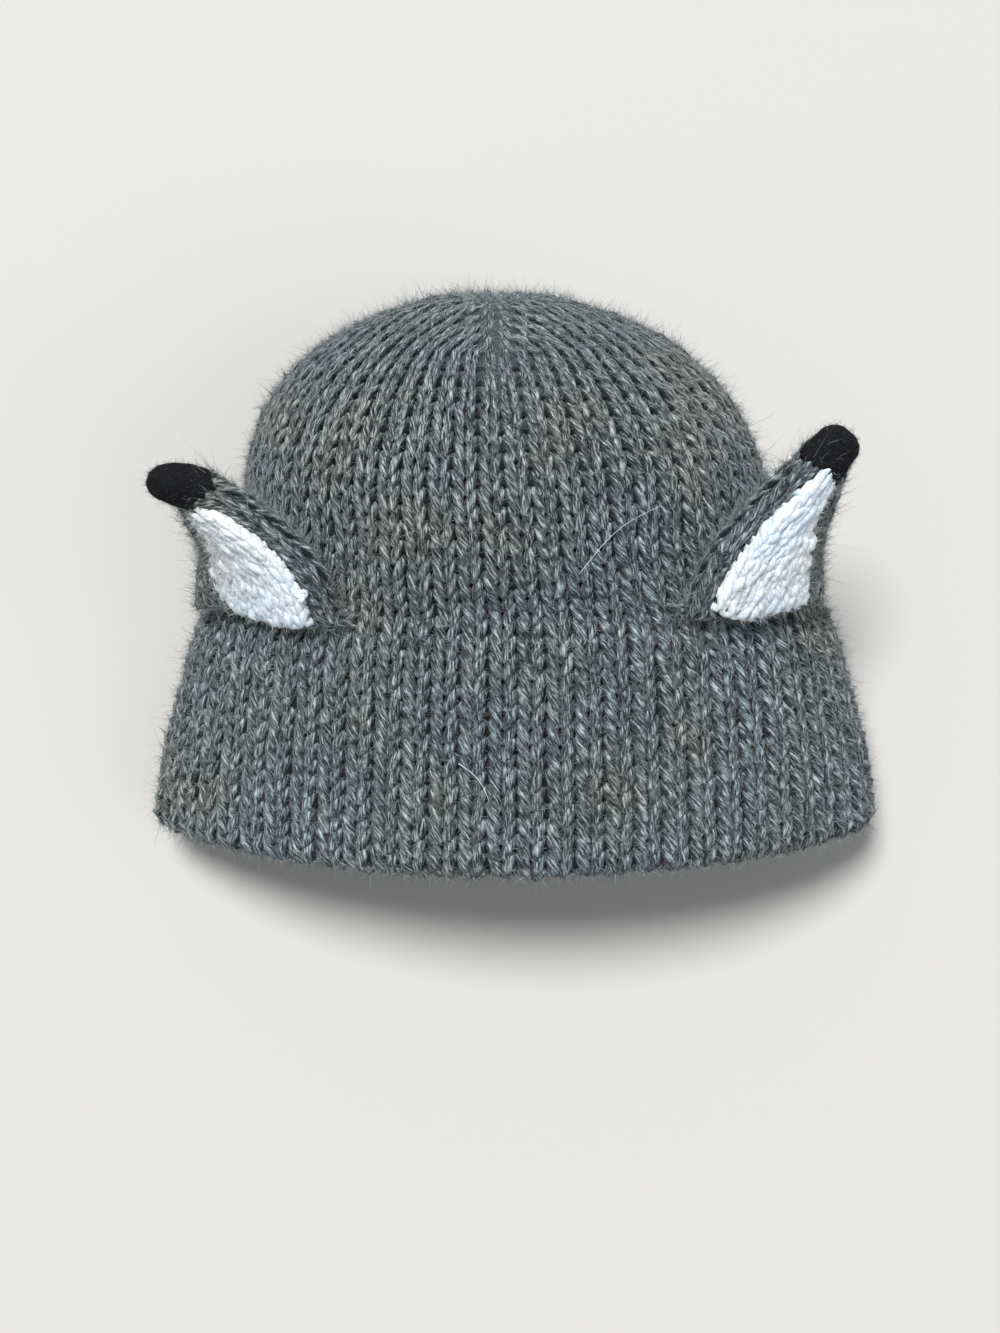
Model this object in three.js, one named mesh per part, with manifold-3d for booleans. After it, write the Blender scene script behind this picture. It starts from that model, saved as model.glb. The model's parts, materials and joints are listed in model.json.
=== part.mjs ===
import * as THREE from 'three';
import { mergeVertices } from 'three/addons/utils/BufferGeometryUtils.js';
import Module from 'manifold-3d';

const wasm = await Module();
wasm.setup();

// A knitted baby hat lying on its back, in millimetres.
// X runs across the hat, +Y from the hem to the crown, +Z up through its front.
const brimLength = 54.5; // hem to crease along Y, at the middle of the front
const hemWidth = 165;
const hemHeight = 47; // front layer at the hem, above the surface it lies on
const creaseWidth = 136; // where the brim meets the crown
const creaseHeight = 64;
const creaseDepth = 1.8; // how far the crease is drawn in
const creaseReach = 5; // half the width of the drawn-in groove
const crownLength = 74.5; // crease to the far end of the crown
const crownWidth = 113;
const crownHeight = 75.5;
const crownRound = 43; // the crown's rounded end starts this far from its far point
const crownLean = 4.4; // the crown's end lies this far towards the left ear
const crownWall = 4.5; // one layer of knitting
const brimWall = 9; // the brim is turned in, so it is two layers thick
const bellyBlend = 1.5; // softness of the edge of the flattened back
const dentReach = 9;
const dentDepth = 2.6; // the deepest dent
const seamGap = 0.3; // clearance between pieces that touch
const cutSpare = 0.1; // extra clearance at a cut, for the flats of the faces

const earLength = 38;
const earWidth = 39;
const earThickness = 12;
const earRoot = 7; // the root runs this deep before the hat's surface cuts it off
const rootSwell = 0.8; // the root narrows where it sinks in
const liningThickness = 4;
const liningProud = 0.7; // the lining swells out of the ear's front by this much

const around = 48; // faces around the hat
const earAround = 24; // faces around an ear

// Brim sections from the crease to the hem.
// fall: share of the way from creaseHeight to hemHeight; flare: from creaseWidth to hemWidth.
// side: height of the widest line, as a share of the front height.
// sideBack, backBack: how far the sides and the back stay behind the front, in brim lengths.
// belly: how far the unflattened back would reach below the surface, in front heights.
// fold: 1 is a round side, more is a sharper fold.
const brimSections = [
  { at: 0, fall: 0, flare: 0, side: 0.41, sideBack: 0.203, backBack: 0.344, belly: 0.11, fold: 1.1 },
  { at: 0.35, fall: 0.41, flare: 0.43, side: 0.37, sideBack: 0.217, backBack: 0.32, belly: 0.14, fold: 1.2 },
  { at: 0.7, fall: 0.735, flare: 0.8, side: 0.33, sideBack: 0.23, backBack: 0.25, belly: 0.15, fold: 1.32 },
  { at: 1, fall: 1, flare: 1, side: 0.3, sideBack: 0.235, backBack: 0.15, belly: 0.14, fold: 1.45 },
];

// Crown sections from the crease to the drawn-up end. Lengths are shares of crownLength from the
// crease, heights are shares of crownHeight, width is a share of crownWidth.
const crownSections = [
  { at: 0.167, front: 0.173, top: 0.932, side: 0.323, mid: 0.437, back: 0.459, low: -0.093, width: 1.035 },
  { at: 0.333, front: 0.352, top: 0.993, side: 0.507, mid: 0.503, back: 0.67, low: -0.026, width: 0.981 },
  { at: 0.5, front: 0.541, top: 0.984, side: 0.69, mid: 0.566, back: 0.84, low: 0.139, width: 0.864 },
  { at: 0.667, front: 0.719, top: 0.922, side: 0.84, mid: 0.619, back: 0.96, low: 0.314, width: 0.632 },
  { at: 0.833, front: 0.869, top: 0.808, side: 0.929, mid: 0.665, back: 0.995, low: 0.514, width: 0.308 },
  { at: 0.917, front: 0.918, top: 0.736, side: 0.945, mid: 0.675, back: 0.972, low: 0.609, width: 0.133 },
  { at: 1, front: 0.922, top: 0.682, side: 0.92, mid: 0.673, back: 0.923, low: 0.662, width: 0.018 },
];

// Soft dents, in the crown beside the inner end of each ear and in the brim.
// turn: degrees from the middle of the front; at: share of the crown, or of the brim if negative;
// depth: share of dentDepth.
const dents = [
  { turn: -36, at: 0.08, depth: 0.85 },
  { turn: 33, at: 0.09, depth: 1 },
  { turn: 28, at: -0.55, depth: 0.35 },
  { turn: -24, at: -0.7, depth: 0.3 },
];

// The ears' middle lines, from the hat outwards, in ear lengths from the point where they are sewn on.
// out: away from the middle; along: towards the crown; up: away from the surface the hat lies on;
// inner, outer: the lining's edges beside the crown and away from it, in half widths of the ear.
// tipStart: share of the ear where the felted tip starts.
const ears = [
  {
    name: 'left',
    sign: -1,
    turn: 52,
    tipStart: 0.745,
    chord: { out: 0.767, along: 0.143, up: -0.626 },
    sections: [
      { at: 0, out: 0, along: 0.035, up: 0, width: 1.06, thick: 1, inner: -0.8, outer: 0.45 },
      { at: 0.3, out: 0.04, along: 0.23, up: 0.2, width: 0.86, thick: 0.95, inner: -0.8, outer: 0.57 },
      { at: 0.58, out: 0.18, along: 0.42, up: 0.36, width: 0.57, thick: 0.86, inner: -0.72, outer: 0.6 },
      { at: 0.8, out: 0.35, along: 0.55, up: 0.46, width: 0.34, thick: 0.76, inner: -0.4, outer: 0.75 },
      { at: 1, out: 0.58, along: 0.595, up: 0.55, width: 0.26, thick: 0.66, inner: -0.4, outer: 0.75 },
    ],
  },
  {
    name: 'right',
    sign: 1,
    turn: 49.6,
    tipStart: 0.84,
    chord: { out: 0.797, along: 0.07, up: -0.597 },
    sections: [
      { at: 0, out: 0, along: 0.035, up: 0, width: 1, thick: 1, inner: -0.9, outer: 0.48 },
      { at: 0.28, out: 0.03, along: 0.23, up: 0.13, width: 0.85, thick: 0.97, inner: -0.8, outer: 0.5 },
      { at: 0.55, out: 0.11, along: 0.43, up: 0.24, width: 0.6, thick: 0.9, inner: -0.7, outer: 0.52 },
      { at: 0.8, out: 0.27, along: 0.67, up: 0.36, width: 0.34, thick: 0.82, inner: -0.65, outer: 0.7 },
      { at: 1, out: 0.46, along: 0.865, up: 0.44, width: 0.25, thick: 0.7, inner: -0.65, outer: 0.7 },
    ],
  },
];

// The felted tip from the end of the ear's knitting outwards, in shares of its length and its swell.
const tipSections = [
  { at: 0, swell: 0.91 },
  { at: 0.1, swell: 1 },
  { at: 0.4, swell: 1 },
  { at: 0.7, swell: 0.93 },
  { at: 0.9, swell: 0.71 },
  { at: 1, swell: 0.36 },
];

const creaseY = (brimLength - crownLength) / 2;

// Smooth curve through one column of a table, at a share between its rows.
function column(rows, name, at) {
  let i = 0;
  while (i < rows.length - 2 && at > rows[i + 1].at) i += 1;
  const slope = (k) => {
    const a = rows[Math.max(k - 1, 0)];
    const b = rows[Math.min(k + 1, rows.length - 1)];
    return (b[name] - a[name]) / (b.at - a.at);
  };
  const step = rows[i + 1].at - rows[i].at;
  const t = (at - rows[i].at) / step;
  const rise = rows[i + 1][name] - rows[i][name];
  const start = slope(i) * step;
  const end = slope(i + 1) * step;
  const bend = t * (1 - t) * ((1 - t) * (start - rise) - t * (end - rise));
  return rows[i][name] + t * rise + bend;
}

// One round of the hat: its front, side and back points in the middle plane, and its half width.
function brimRing(share) {
  const value = (name) => column(brimSections, name, share);
  const high = THREE.MathUtils.lerp(creaseHeight, hemHeight, value('fall'));
  const frontY = creaseY - share * brimLength;
  return {
    front: { y: frontY, z: high },
    side: { y: frontY + value('sideBack') * brimLength, z: value('side') * high },
    back: { y: frontY + value('backBack') * brimLength, z: -value('belly') * high },
    half: THREE.MathUtils.lerp(creaseWidth, hemWidth, value('flare')) / 2,
    lean: 0,
    fold: value('fold'),
  };
}

const creaseRing = brimRing(0);

// The crease is the crown's first section, in the crown's own shares.
const crownRows = [
  {
    at: 0,
    front: 0,
    top: creaseRing.front.z / crownHeight,
    side: (creaseRing.side.y - creaseY) / crownLength,
    mid: creaseRing.side.z / crownHeight,
    back: (creaseRing.back.y - creaseY) / crownLength,
    low: creaseRing.back.z / crownHeight,
    width: creaseWidth / crownWidth,
  },
  ...crownSections,
];

function crownRing(share) {
  const value = (name) => column(crownRows, name, share);
  const y = (name) => creaseY + value(name) * crownLength;
  const z = (name) => value(name) * crownHeight;
  const rounding = THREE.MathUtils.smoothstep(share, 0, 0.2);
  return {
    front: { y: y('front'), z: z('top') },
    side: { y: y('side'), z: z('mid') },
    back: { y: y('back'), z: z('low') },
    half: (value('width') * crownWidth) / 2,
    lean: -crownLean * Math.sin((share * Math.PI) / 2) ** 0.8,
    fold: THREE.MathUtils.lerp(creaseRing.fold, 1, rounding),
  };
}

// Heights below the floor lie on it, with a soft edge around the flat part.
function flatten(z, floor) {
  const over = z - floor;
  if (over <= -bellyBlend) return floor;
  if (over >= bellyBlend) return z;
  return floor + (over + bellyBlend) ** 2 / (4 * bellyBlend);
}

// How far the surface is drawn in at the crease and at the dents.
function drawnIn(place, turn) {
  const fromCrease = place < 0 ? place * brimLength : place * crownLength;
  let depth = creaseDepth * Math.exp(-((fromCrease / creaseReach) ** 2));
  for (const dent of dents) {
    const ring = ringAt(dent.at);
    const offAround = ring.half * (Math.sin(turn) - Math.sin(THREE.MathUtils.degToRad(dent.turn)));
    const offAlong = fromCrease - dent.at * (dent.at < 0 ? brimLength : crownLength);
    const near = (offAround ** 2 + offAlong ** 2) / dentReach ** 2;
    if (Math.cos(turn) > 0) depth += dent.depth * dentDepth * Math.exp(-near);
  }
  return depth;
}

// place runs from -1 at the hem through 0 at the crease to 1 at the drawn-up end of the crown.
function ringAt(place) {
  return place < 0 ? brimRing(-place) : crownRing(place);
}

// A point of the hat's wall: turn goes round from the middle of the front, inset goes inwards.
function wallPoint(place, turn, inset, floor) {
  const ring = ringAt(place);
  const sine = Math.sin(turn);
  const cosine = Math.cos(turn);
  const spoke = cosine > 0 ? ring.front : ring.back;
  const reach = Math.abs(cosine) ** ring.fold;
  const deep = Math.hypot(spoke.y - ring.side.y, spoke.z - ring.side.z);
  const shrink = reach * (1 - inset / Math.max(deep, inset));
  const flat = new THREE.Vector3(
    ring.lean + sine * (ring.half - inset * ring.fold),
    ring.side.y + (spoke.y - ring.side.y) * shrink,
    ring.side.z + (spoke.z - ring.side.z) * shrink,
  );
  const dome = THREE.MathUtils.smoothstep(place, 0, 0.25);
  if (dome === 0) return flat.setZ(flatten(flat.z, floor));
  const outer = new THREE.Vector3(
    ring.lean + sine * ring.half,
    ring.side.y + (spoke.y - ring.side.y) * reach,
    ring.side.z + (spoke.z - ring.side.z) * reach,
  );
  const roundY = creaseY + crownLength - crownRound;
  const normal = new THREE.Vector3(
    (outer.x - ring.lean) / (crownWidth / 2) ** 2,
    Math.max(outer.y - roundY, 0) / crownRound ** 2,
    (outer.z - crownHeight / 2) / (crownHeight / 2) ** 2,
  ).normalize();
  outer.addScaledVector(normal, -inset);
  flat.lerp(outer, dome);
  return flat.setZ(flatten(flat.z, floor));
}

function turnAt(i, count) {
  return (2 * Math.PI * i) / count;
}

// A closed round of points. A deep point of the wall keeps the floor of its own layer.
function round(place, depth, shift = 0) {
  const points = [];
  for (let i = 0; i < around; i += 1) {
    const turn = turnAt(i, around);
    const inset = depth + drawnIn(place, turn);
    const point = wallPoint(place, turn, inset, Math.max(depth, 0));
    point.y += shift;
    points.push(point);
  }
  return points;
}

// Joins rounds of equal count into one closed body, from point to point or as a loop of rounds.
function loft(rounds, startPoint, endPoint) {
  const count = rounds[0].length;
  const positions = [];
  const faces = [];
  for (const ring of rounds) for (const point of ring) positions.push(point.x, point.y, point.z);
  const index = (ring, i) => (ring % rounds.length) * count + (i % count);
  const steps = startPoint ? rounds.length - 1 : rounds.length;
  for (let ring = 0; ring < steps; ring += 1) {
    for (let i = 0; i < count; i += 1) {
      faces.push(index(ring, i), index(ring, i + 1), index(ring + 1, i + 1));
      faces.push(index(ring, i), index(ring + 1, i + 1), index(ring + 1, i));
    }
  }
  if (startPoint) {
    const start = positions.length / 3;
    positions.push(startPoint.x, startPoint.y, startPoint.z, endPoint.x, endPoint.y, endPoint.z);
    for (let i = 0; i < count; i += 1) {
      faces.push(start, index(0, i + 1), index(0, i));
      faces.push(start + 1, index(rounds.length - 1, i), index(rounds.length - 1, i + 1));
    }
  }
  const geometry = new THREE.BufferGeometry();
  geometry.setAttribute('position', new THREE.Float32BufferAttribute(positions, 3));
  geometry.setIndex(faces);
  return facingOut(geometry);
}

// Turns every face of a closed body to point out.
function facingOut(geometry) {
  const position = geometry.getAttribute('position');
  const corner = (i) => new THREE.Vector3().fromBufferAttribute(position, geometry.index.getX(i));
  let volume = 0;
  for (let i = 0; i < geometry.index.count; i += 3) {
    volume += corner(i).dot(corner(i + 1).cross(corner(i + 2)));
  }
  if (volume < 0) {
    const index = geometry.index.array;
    for (let i = 0; i < index.length; i += 3) [index[i], index[i + 1]] = [index[i + 1], index[i]];
  }
  return geometry;
}

function middle(points) {
  const sum = new THREE.Vector3();
  for (const point of points) sum.add(point);
  return sum.divideScalar(points.length);
}

function solid(geometry) {
  const bare = geometry.clone();
  bare.deleteAttribute('normal');
  bare.deleteAttribute('uv');
  const merged = mergeVertices(bare, 1e-4);
  const vertProperties = new Float32Array(merged.getAttribute('position').array);
  const triVerts = new Uint32Array(merged.index.array);
  return new wasm.Manifold(new wasm.Mesh({ numProp: 3, vertProperties, triVerts }));
}

function geometryOf(body) {
  const mesh = body.getMesh();
  const geometry = new THREE.BufferGeometry();
  geometry.setAttribute('position', new THREE.Float32BufferAttribute(mesh.vertProperties, 3));
  geometry.setIndex(new THREE.Uint32BufferAttribute(mesh.triVerts, 1));
  return geometry;
}

function shares(from, to, steps) {
  return Array.from({ length: steps + 1 }, (_, i) => from + ((to - from) * i) / steps);
}

function crownGeometry() {
  const outer = shares(0, 1, 18).map((place) => round(place, 0, place === 0 ? seamGap / 2 : 0));
  const innerEnd = 0.84; // the hollow stops short of the drawn-up end
  const inner = shares(0, innerEnd, 12).map((place) => {
    return round(place, crownWall, place === 0 ? seamGap / 2 : 0);
  });
  const puckered = middle(outer[outer.length - 1]);
  const within = middle(inner[inner.length - 1]);
  const towards = puckered.clone().sub(within).normalize();
  const innerPoint = puckered.clone().addScaledVector(towards, -crownWall);
  return loft([...inner.reverse(), ...outer], innerPoint, puckered);
}

function brimGeometry() {
  const foldStart = 1 - brimWall / 2 / brimLength;
  const outer = shares(0, foldStart, 9).map((share) => round(-share, 0, share === 0 ? -seamGap / 2 : 0));
  const folded = shares(0, Math.PI, 6).slice(1, -1).map((angle) => {
    const depth = (brimWall / 2) * (1 - Math.cos(angle));
    const near = round(-foldStart, depth);
    const far = round(-1, depth);
    return near.map((point, i) => point.lerp(far[i], Math.sin(angle)));
  });
  const inner = shares(foldStart, 0, 7).map((share) => {
    return round(-share, brimWall, share === 0 ? -seamGap / 2 : 0);
  });
  return loft([...outer, ...folded, ...inner]);
}

// The whole hat's outside, grown by the seam clearance, to cut the ears' roots with.
function envelope() {
  const places = [...shares(-1, 0, 12), ...shares(0, 1, 12).slice(1)];
  const rounds = places.map((place) => {
    const points = [];
    for (let i = 0; i < around; i += 1) {
      const turn = turnAt(i, around);
      const point = wallPoint(place, turn, drawnIn(place, turn) - seamGap - cutSpare, -seamGap);
      points.push(point);
    }
    return points;
  });
  return solid(loft(rounds, middle(rounds[0]), middle(rounds[rounds.length - 1])));
}

// Middle line of an ear with the directions into the hat, across the ear and out of its front.
function earLine(ear) {
  const turn = THREE.MathUtils.degToRad(ear.turn * ear.sign);
  const sewn = wallPoint(0, turn, drawnIn(0, turn), 0);
  const chord = new THREE.Vector3(ear.chord.out * ear.sign, ear.chord.along, ear.chord.up).normalize();
  const inward = new THREE.Vector3(0, creaseRing.side.y, creaseRing.side.z).sub(sewn).normalize();
  const point = (share) => {
    const value = (name) => column(ear.sections, name, share) * earLength;
    return sewn.clone().add(new THREE.Vector3(value('out') * ear.sign, value('along'), value('up')));
  };
  return (share) => {
    const ahead = point(Math.min(share + 0.02, 1));
    const heading = ahead.sub(point(Math.max(share - 0.02, 0))).normalize();
    const across = chord.clone().addScaledVector(heading, -chord.dot(heading)).normalize();
    const out = heading.clone().cross(across).normalize();
    if (out.y > 0) out.negate();
    return { point: point(share), inward, across, out };
  };
}

// An oval round of an ear: forward moves it out of the front, sunk moves it into the hat.
function oval(station, { halfWidth, halfThick, forward, aside }, swell, sunk) {
  const points = [];
  for (let i = 0; i < earAround; i += 1) {
    const turn = turnAt(i, earAround);
    points.push(
      station.point
        .clone()
        .addScaledVector(station.across, Math.cos(turn) * halfWidth * swell + aside)
        .addScaledVector(station.out, Math.sin(turn) * halfThick * swell + forward)
        .addScaledVector(station.inward, sunk),
    );
  }
  return points;
}

function earLoft(ear, places, size) {
  const stationAt = earLine(ear);
  const rounds = places.map(({ share, sunk, swell = 1 }) => {
    return oval(stationAt(share), size(share), swell, sunk);
  });
  return solid(loft(rounds, middle(rounds[0]), middle(rounds[rounds.length - 1])));
}

function earSize(ear, share) {
  return {
    halfWidth: (column(ear.sections, 'width', share) * earWidth) / 2,
    halfThick: (column(ear.sections, 'thick', share) * earThickness) / 2,
    forward: 0,
    aside: 0,
  };
}

function liningSize(ear, share, grow) {
  const shell = earSize(ear, share);
  const inner = column(ear.sections, 'inner', share) * shell.halfWidth;
  const outer = column(ear.sections, 'outer', share) * shell.halfWidth;
  return {
    halfWidth: (outer - inner) / 2 + grow,
    halfThick: liningThickness / 2 + grow,
    forward: shell.halfThick - liningThickness / 2 + liningProud,
    aside: (outer + inner) / 2,
  };
}

function rootedPlaces(end) {
  const above = shares(0, end, 10).map((share) => ({ share, sunk: 0 }));
  return [{ share: 0, sunk: earRoot, swell: rootSwell }, ...above];
}

function earPieces(ear, hat) {
  const end = ear.tipStart - seamGap / earLength;
  const places = rootedPlaces(end);
  const body = earLoft(ear, places, (share) => earSize(ear, share));
  const lining = earLoft(ear, places, (share) => liningSize(ear, share, 0));
  const pocketPlaces = rootedPlaces(ear.tipStart + seamGap / earLength);
  const pocket = earLoft(ear, pocketPlaces, (share) => liningSize(ear, share, seamGap));
  const capPlaces = tipSections.map(({ at, swell }) => ({
    share: THREE.MathUtils.lerp(ear.tipStart, 1, at),
    sunk: 0,
    swell,
  }));
  const cap = earLoft(ear, capPlaces, (share) => earSize(ear, share));
  return {
    shell: body.subtract(pocket).subtract(hat),
    lining: lining.subtract(hat),
    tip: cap,
  };
}

const greyWool = { color: 0x646c6e, roughness: 0.95, metalness: 0 };
const whiteWool = { color: 0xe3eef0, roughness: 0.9, metalness: 0 };
const blackFelt = { color: 0x1f2124, roughness: 0.9, metalness: 0 };

function piece(name, geometry, finish) {
  geometry.computeVertexNormals();
  const mesh = new THREE.Mesh(geometry, new THREE.MeshStandardMaterial(finish));
  mesh.name = name;
  return mesh;
}

const hat = new THREE.Group();
hat.add(piece('crown', crownGeometry(), greyWool));
hat.add(piece('brim', brimGeometry(), greyWool));

const hatBody = envelope();
for (const ear of ears) {
  const pieces = earPieces(ear, hatBody);
  hat.add(piece(`ear_shell_${ear.name}`, geometryOf(pieces.shell), greyWool));
  hat.add(piece(`ear_lining_${ear.name}`, geometryOf(pieces.lining), whiteWool));
  hat.add(piece(`ear_tip_${ear.name}`, geometryOf(pieces.tip), blackFelt));
}

export default hat;
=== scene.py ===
import json
import math

import bpy
import numpy as np
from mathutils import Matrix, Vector

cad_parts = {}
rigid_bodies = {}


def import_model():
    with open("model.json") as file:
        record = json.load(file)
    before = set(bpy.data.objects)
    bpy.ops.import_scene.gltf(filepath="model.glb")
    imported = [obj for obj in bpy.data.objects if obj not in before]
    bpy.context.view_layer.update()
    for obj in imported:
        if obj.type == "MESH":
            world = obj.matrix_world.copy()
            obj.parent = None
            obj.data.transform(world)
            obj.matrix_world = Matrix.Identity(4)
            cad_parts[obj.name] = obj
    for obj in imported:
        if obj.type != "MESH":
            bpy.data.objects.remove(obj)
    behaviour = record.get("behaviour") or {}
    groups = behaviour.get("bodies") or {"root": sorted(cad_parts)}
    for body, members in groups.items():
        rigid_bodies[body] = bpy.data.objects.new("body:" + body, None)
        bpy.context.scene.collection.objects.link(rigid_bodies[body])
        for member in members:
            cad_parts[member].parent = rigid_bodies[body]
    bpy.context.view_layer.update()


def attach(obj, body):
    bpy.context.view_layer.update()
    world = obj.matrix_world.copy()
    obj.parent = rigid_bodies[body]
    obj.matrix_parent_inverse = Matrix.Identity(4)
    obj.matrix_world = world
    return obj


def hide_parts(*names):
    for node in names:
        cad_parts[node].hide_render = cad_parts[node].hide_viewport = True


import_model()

mm = 0.001  # tables and knitting sizes are in millimetres, meshes are written in metres


def table(names, rows):
    # a table with named columns
    return {name: np.array([row[i] for row in rows], float) for i, name in enumerate(names.split())}


# The hat's form in mm, lying on its back

hatForm = {
    "brimLength": 54.5,    # along the front, from the crease to the hem
    "hemWidth": 165.0,
    "hemHeight": 47.0,
    "creaseWidth": 136.0,
    "creaseHeight": 64.0,
    "creaseDepth": 1.8,    # how deep the crease is, and how far along it reaches
    "creaseReach": 5.0,
    "crownLength": 74.5,
    "crownWidth": 113.0,
    "crownHeight": 75.5,
    "crownRound": 43.0,    # length of its domed end
    "crownLean": 4.4,      # how far that end leans to the left
    "brimWall": 9.0,       # both layers of the brim
    "bellyBlend": 1.5,     # how softly the belly flattens on the floor
    "dentReach": 9.0,
    "dentDepth": 2.6,
    "foldEnds": 0.2,       # share of the crown where the brim's folded sides have become round
    "domeStarts": 0.25,    # and where the wall is measured square to the dome
}
hatForm["creaseY"] = (hatForm["brimLength"] - hatForm["crownLength"]) / 2

# from the crease to the hem: fall and flare are shares of the change in height and width, side is the
# height of the widest line, sideBack and backBack how far that line and the back lie behind the front,
# belly how far the back would sink if no floor held it up, and fold how full the round is
brimSections = table("at fall flare side sideBack backBack belly fold", [
    (0, 0, 0, 0.41, 0.203, 0.344, 0.11, 1.1),
    (0.35, 0.41, 0.43, 0.37, 0.217, 0.32, 0.14, 1.2),
    (0.7, 0.735, 0.8, 0.33, 0.23, 0.25, 0.15, 1.32),
    (1, 1, 1, 0.3, 0.235, 0.15, 0.14, 1.45),
])

# from the crease to the drawn-up end, in shares of the crown's length, height and width: at, front, top,
# the widest line's place and height, the back's place and height, width
crownSections = [
    (0.167, 0.173, 0.932, 0.323, 0.437, 0.459, -0.093, 1.035),
    (0.333, 0.352, 0.993, 0.507, 0.503, 0.67, -0.026, 0.981),
    (0.5, 0.541, 0.984, 0.69, 0.566, 0.84, 0.139, 0.864),
    (0.667, 0.719, 0.922, 0.84, 0.619, 0.96, 0.314, 0.632),
    (0.833, 0.869, 0.808, 0.929, 0.665, 0.995, 0.514, 0.308),
    (0.917, 0.918, 0.736, 0.945, 0.675, 0.972, 0.609, 0.133),
    (1, 0.922, 0.682, 0.92, 0.673, 0.923, 0.662, 0.018),
]

# soft dents: degrees from the middle of the front, place (share of the crown, or of the brim if
# negative) and share of the usual depth
dents = [(-36, 0.08, 0.85), (33, 0.09, 1), (28, -0.55, 0.35), (-24, -0.7, 0.3)]


def follow(rows, name, at):
    # smooth curve through one column of a table
    x, v = rows["at"], rows[name]
    i = np.clip(np.searchsorted(x, at, side="right") - 1, 0, len(x) - 2)
    slope = (np.r_[v[1:], v[-1]] - np.r_[v[0], v[:-1]]) / (np.r_[x[1:], x[-1]] - np.r_[x[0], x[:-1]])
    step = x[i + 1] - x[i]
    t = (at - x[i]) / step
    rise = v[i + 1] - v[i]
    bend = t * (1 - t) * ((1 - t) * (slope[i] * step - rise) - t * (slope[i + 1] * step - rise))
    return v[i] + t * rise + bend


def smoothStep(x, low, high):
    t = np.clip((x - low) / (high - low), 0, 1)
    return t * t * (3 - 2 * t)


def mix(a, b, t):
    return a + (b - a) * t


def unit(v):
    return v / np.maximum(np.linalg.norm(v, axis=-1, keepdims=True), 1e-9)


def brimRing(share):
    f = hatForm
    high = mix(f["creaseHeight"], f["hemHeight"], follow(brimSections, "fall", share))
    frontY = f["creaseY"] - share * f["brimLength"]
    return {
        "frontY": frontY,
        "frontZ": high,
        "sideY": frontY + follow(brimSections, "sideBack", share) * f["brimLength"],
        "sideZ": follow(brimSections, "side", share) * high,
        "backY": frontY + follow(brimSections, "backBack", share) * f["brimLength"],
        "backZ": -follow(brimSections, "belly", share) * high,
        "half": mix(f["creaseWidth"], f["hemWidth"], follow(brimSections, "flare", share)) / 2,
        "lean": 0 * share,
        "fold": follow(brimSections, "fold", share),
    }


creaseRing = brimRing(np.zeros(1))
creaseRow = (
    0,
    0,
    creaseRing["frontZ"][0] / hatForm["crownHeight"],
    (creaseRing["sideY"][0] - hatForm["creaseY"]) / hatForm["crownLength"],
    creaseRing["sideZ"][0] / hatForm["crownHeight"],
    (creaseRing["backY"][0] - hatForm["creaseY"]) / hatForm["crownLength"],
    creaseRing["backZ"][0] / hatForm["crownHeight"],
    hatForm["creaseWidth"] / hatForm["crownWidth"],
)
crownTable = table("at front top side mid back low width", [creaseRow, *crownSections])


def crownRing(share):
    f = hatForm

    def along(name):
        return f["creaseY"] + follow(crownTable, name, share) * f["crownLength"]

    def high(name):
        return follow(crownTable, name, share) * f["crownHeight"]

    return {
        "frontY": along("front"),
        "frontZ": high("top"),
        "sideY": along("side"),
        "sideZ": high("mid"),
        "backY": along("back"),
        "backZ": high("low"),
        "half": follow(crownTable, "width", share) * f["crownWidth"] / 2,
        "lean": -f["crownLean"] * np.sin(share * math.pi / 2) ** 0.8,  # most of it near the crease
        "fold": mix(creaseRing["fold"][0], 1, smoothStep(share, 0, f["foldEnds"])),
    }


def ringAt(place):
    # place runs from -1 at the hem through 0 at the crease to 1 at the drawn-up end
    low = brimRing(np.clip(-place, 0, 1))
    high = crownRing(np.clip(place, 0, 1))
    return {name: np.where(place < 0, low[name], high[name]) for name in low}


def drawnIn(place, turn):
    # how far the surface is drawn in at the crease and the dents, in mm
    f = hatForm
    fromCrease = np.where(place < 0, place * f["brimLength"], place * f["crownLength"])
    depth = f["creaseDepth"] * np.exp(-(fromCrease / f["creaseReach"]) ** 2)
    for dentTurn, at, share in dents:
        half = ringAt(np.array([float(at)]))["half"][0]
        offAround = half * (np.sin(turn) - math.sin(math.radians(dentTurn)))
        offAlong = fromCrease - at * (f["brimLength"] if at < 0 else f["crownLength"])
        near = (offAround ** 2 + offAlong ** 2) / f["dentReach"] ** 2
        depth = depth + (np.cos(turn) > 0) * share * f["dentDepth"] * np.exp(-near)
    return depth


def flatten(z, floor):
    # heights below the floor lie on it, with a soft edge around the flat part
    blend = hatForm["bellyBlend"]
    over = z - floor
    soft = floor + (over + blend) ** 2 / (4 * blend)
    return np.where(over <= -blend, floor, np.where(over >= blend, z, soft))


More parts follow.
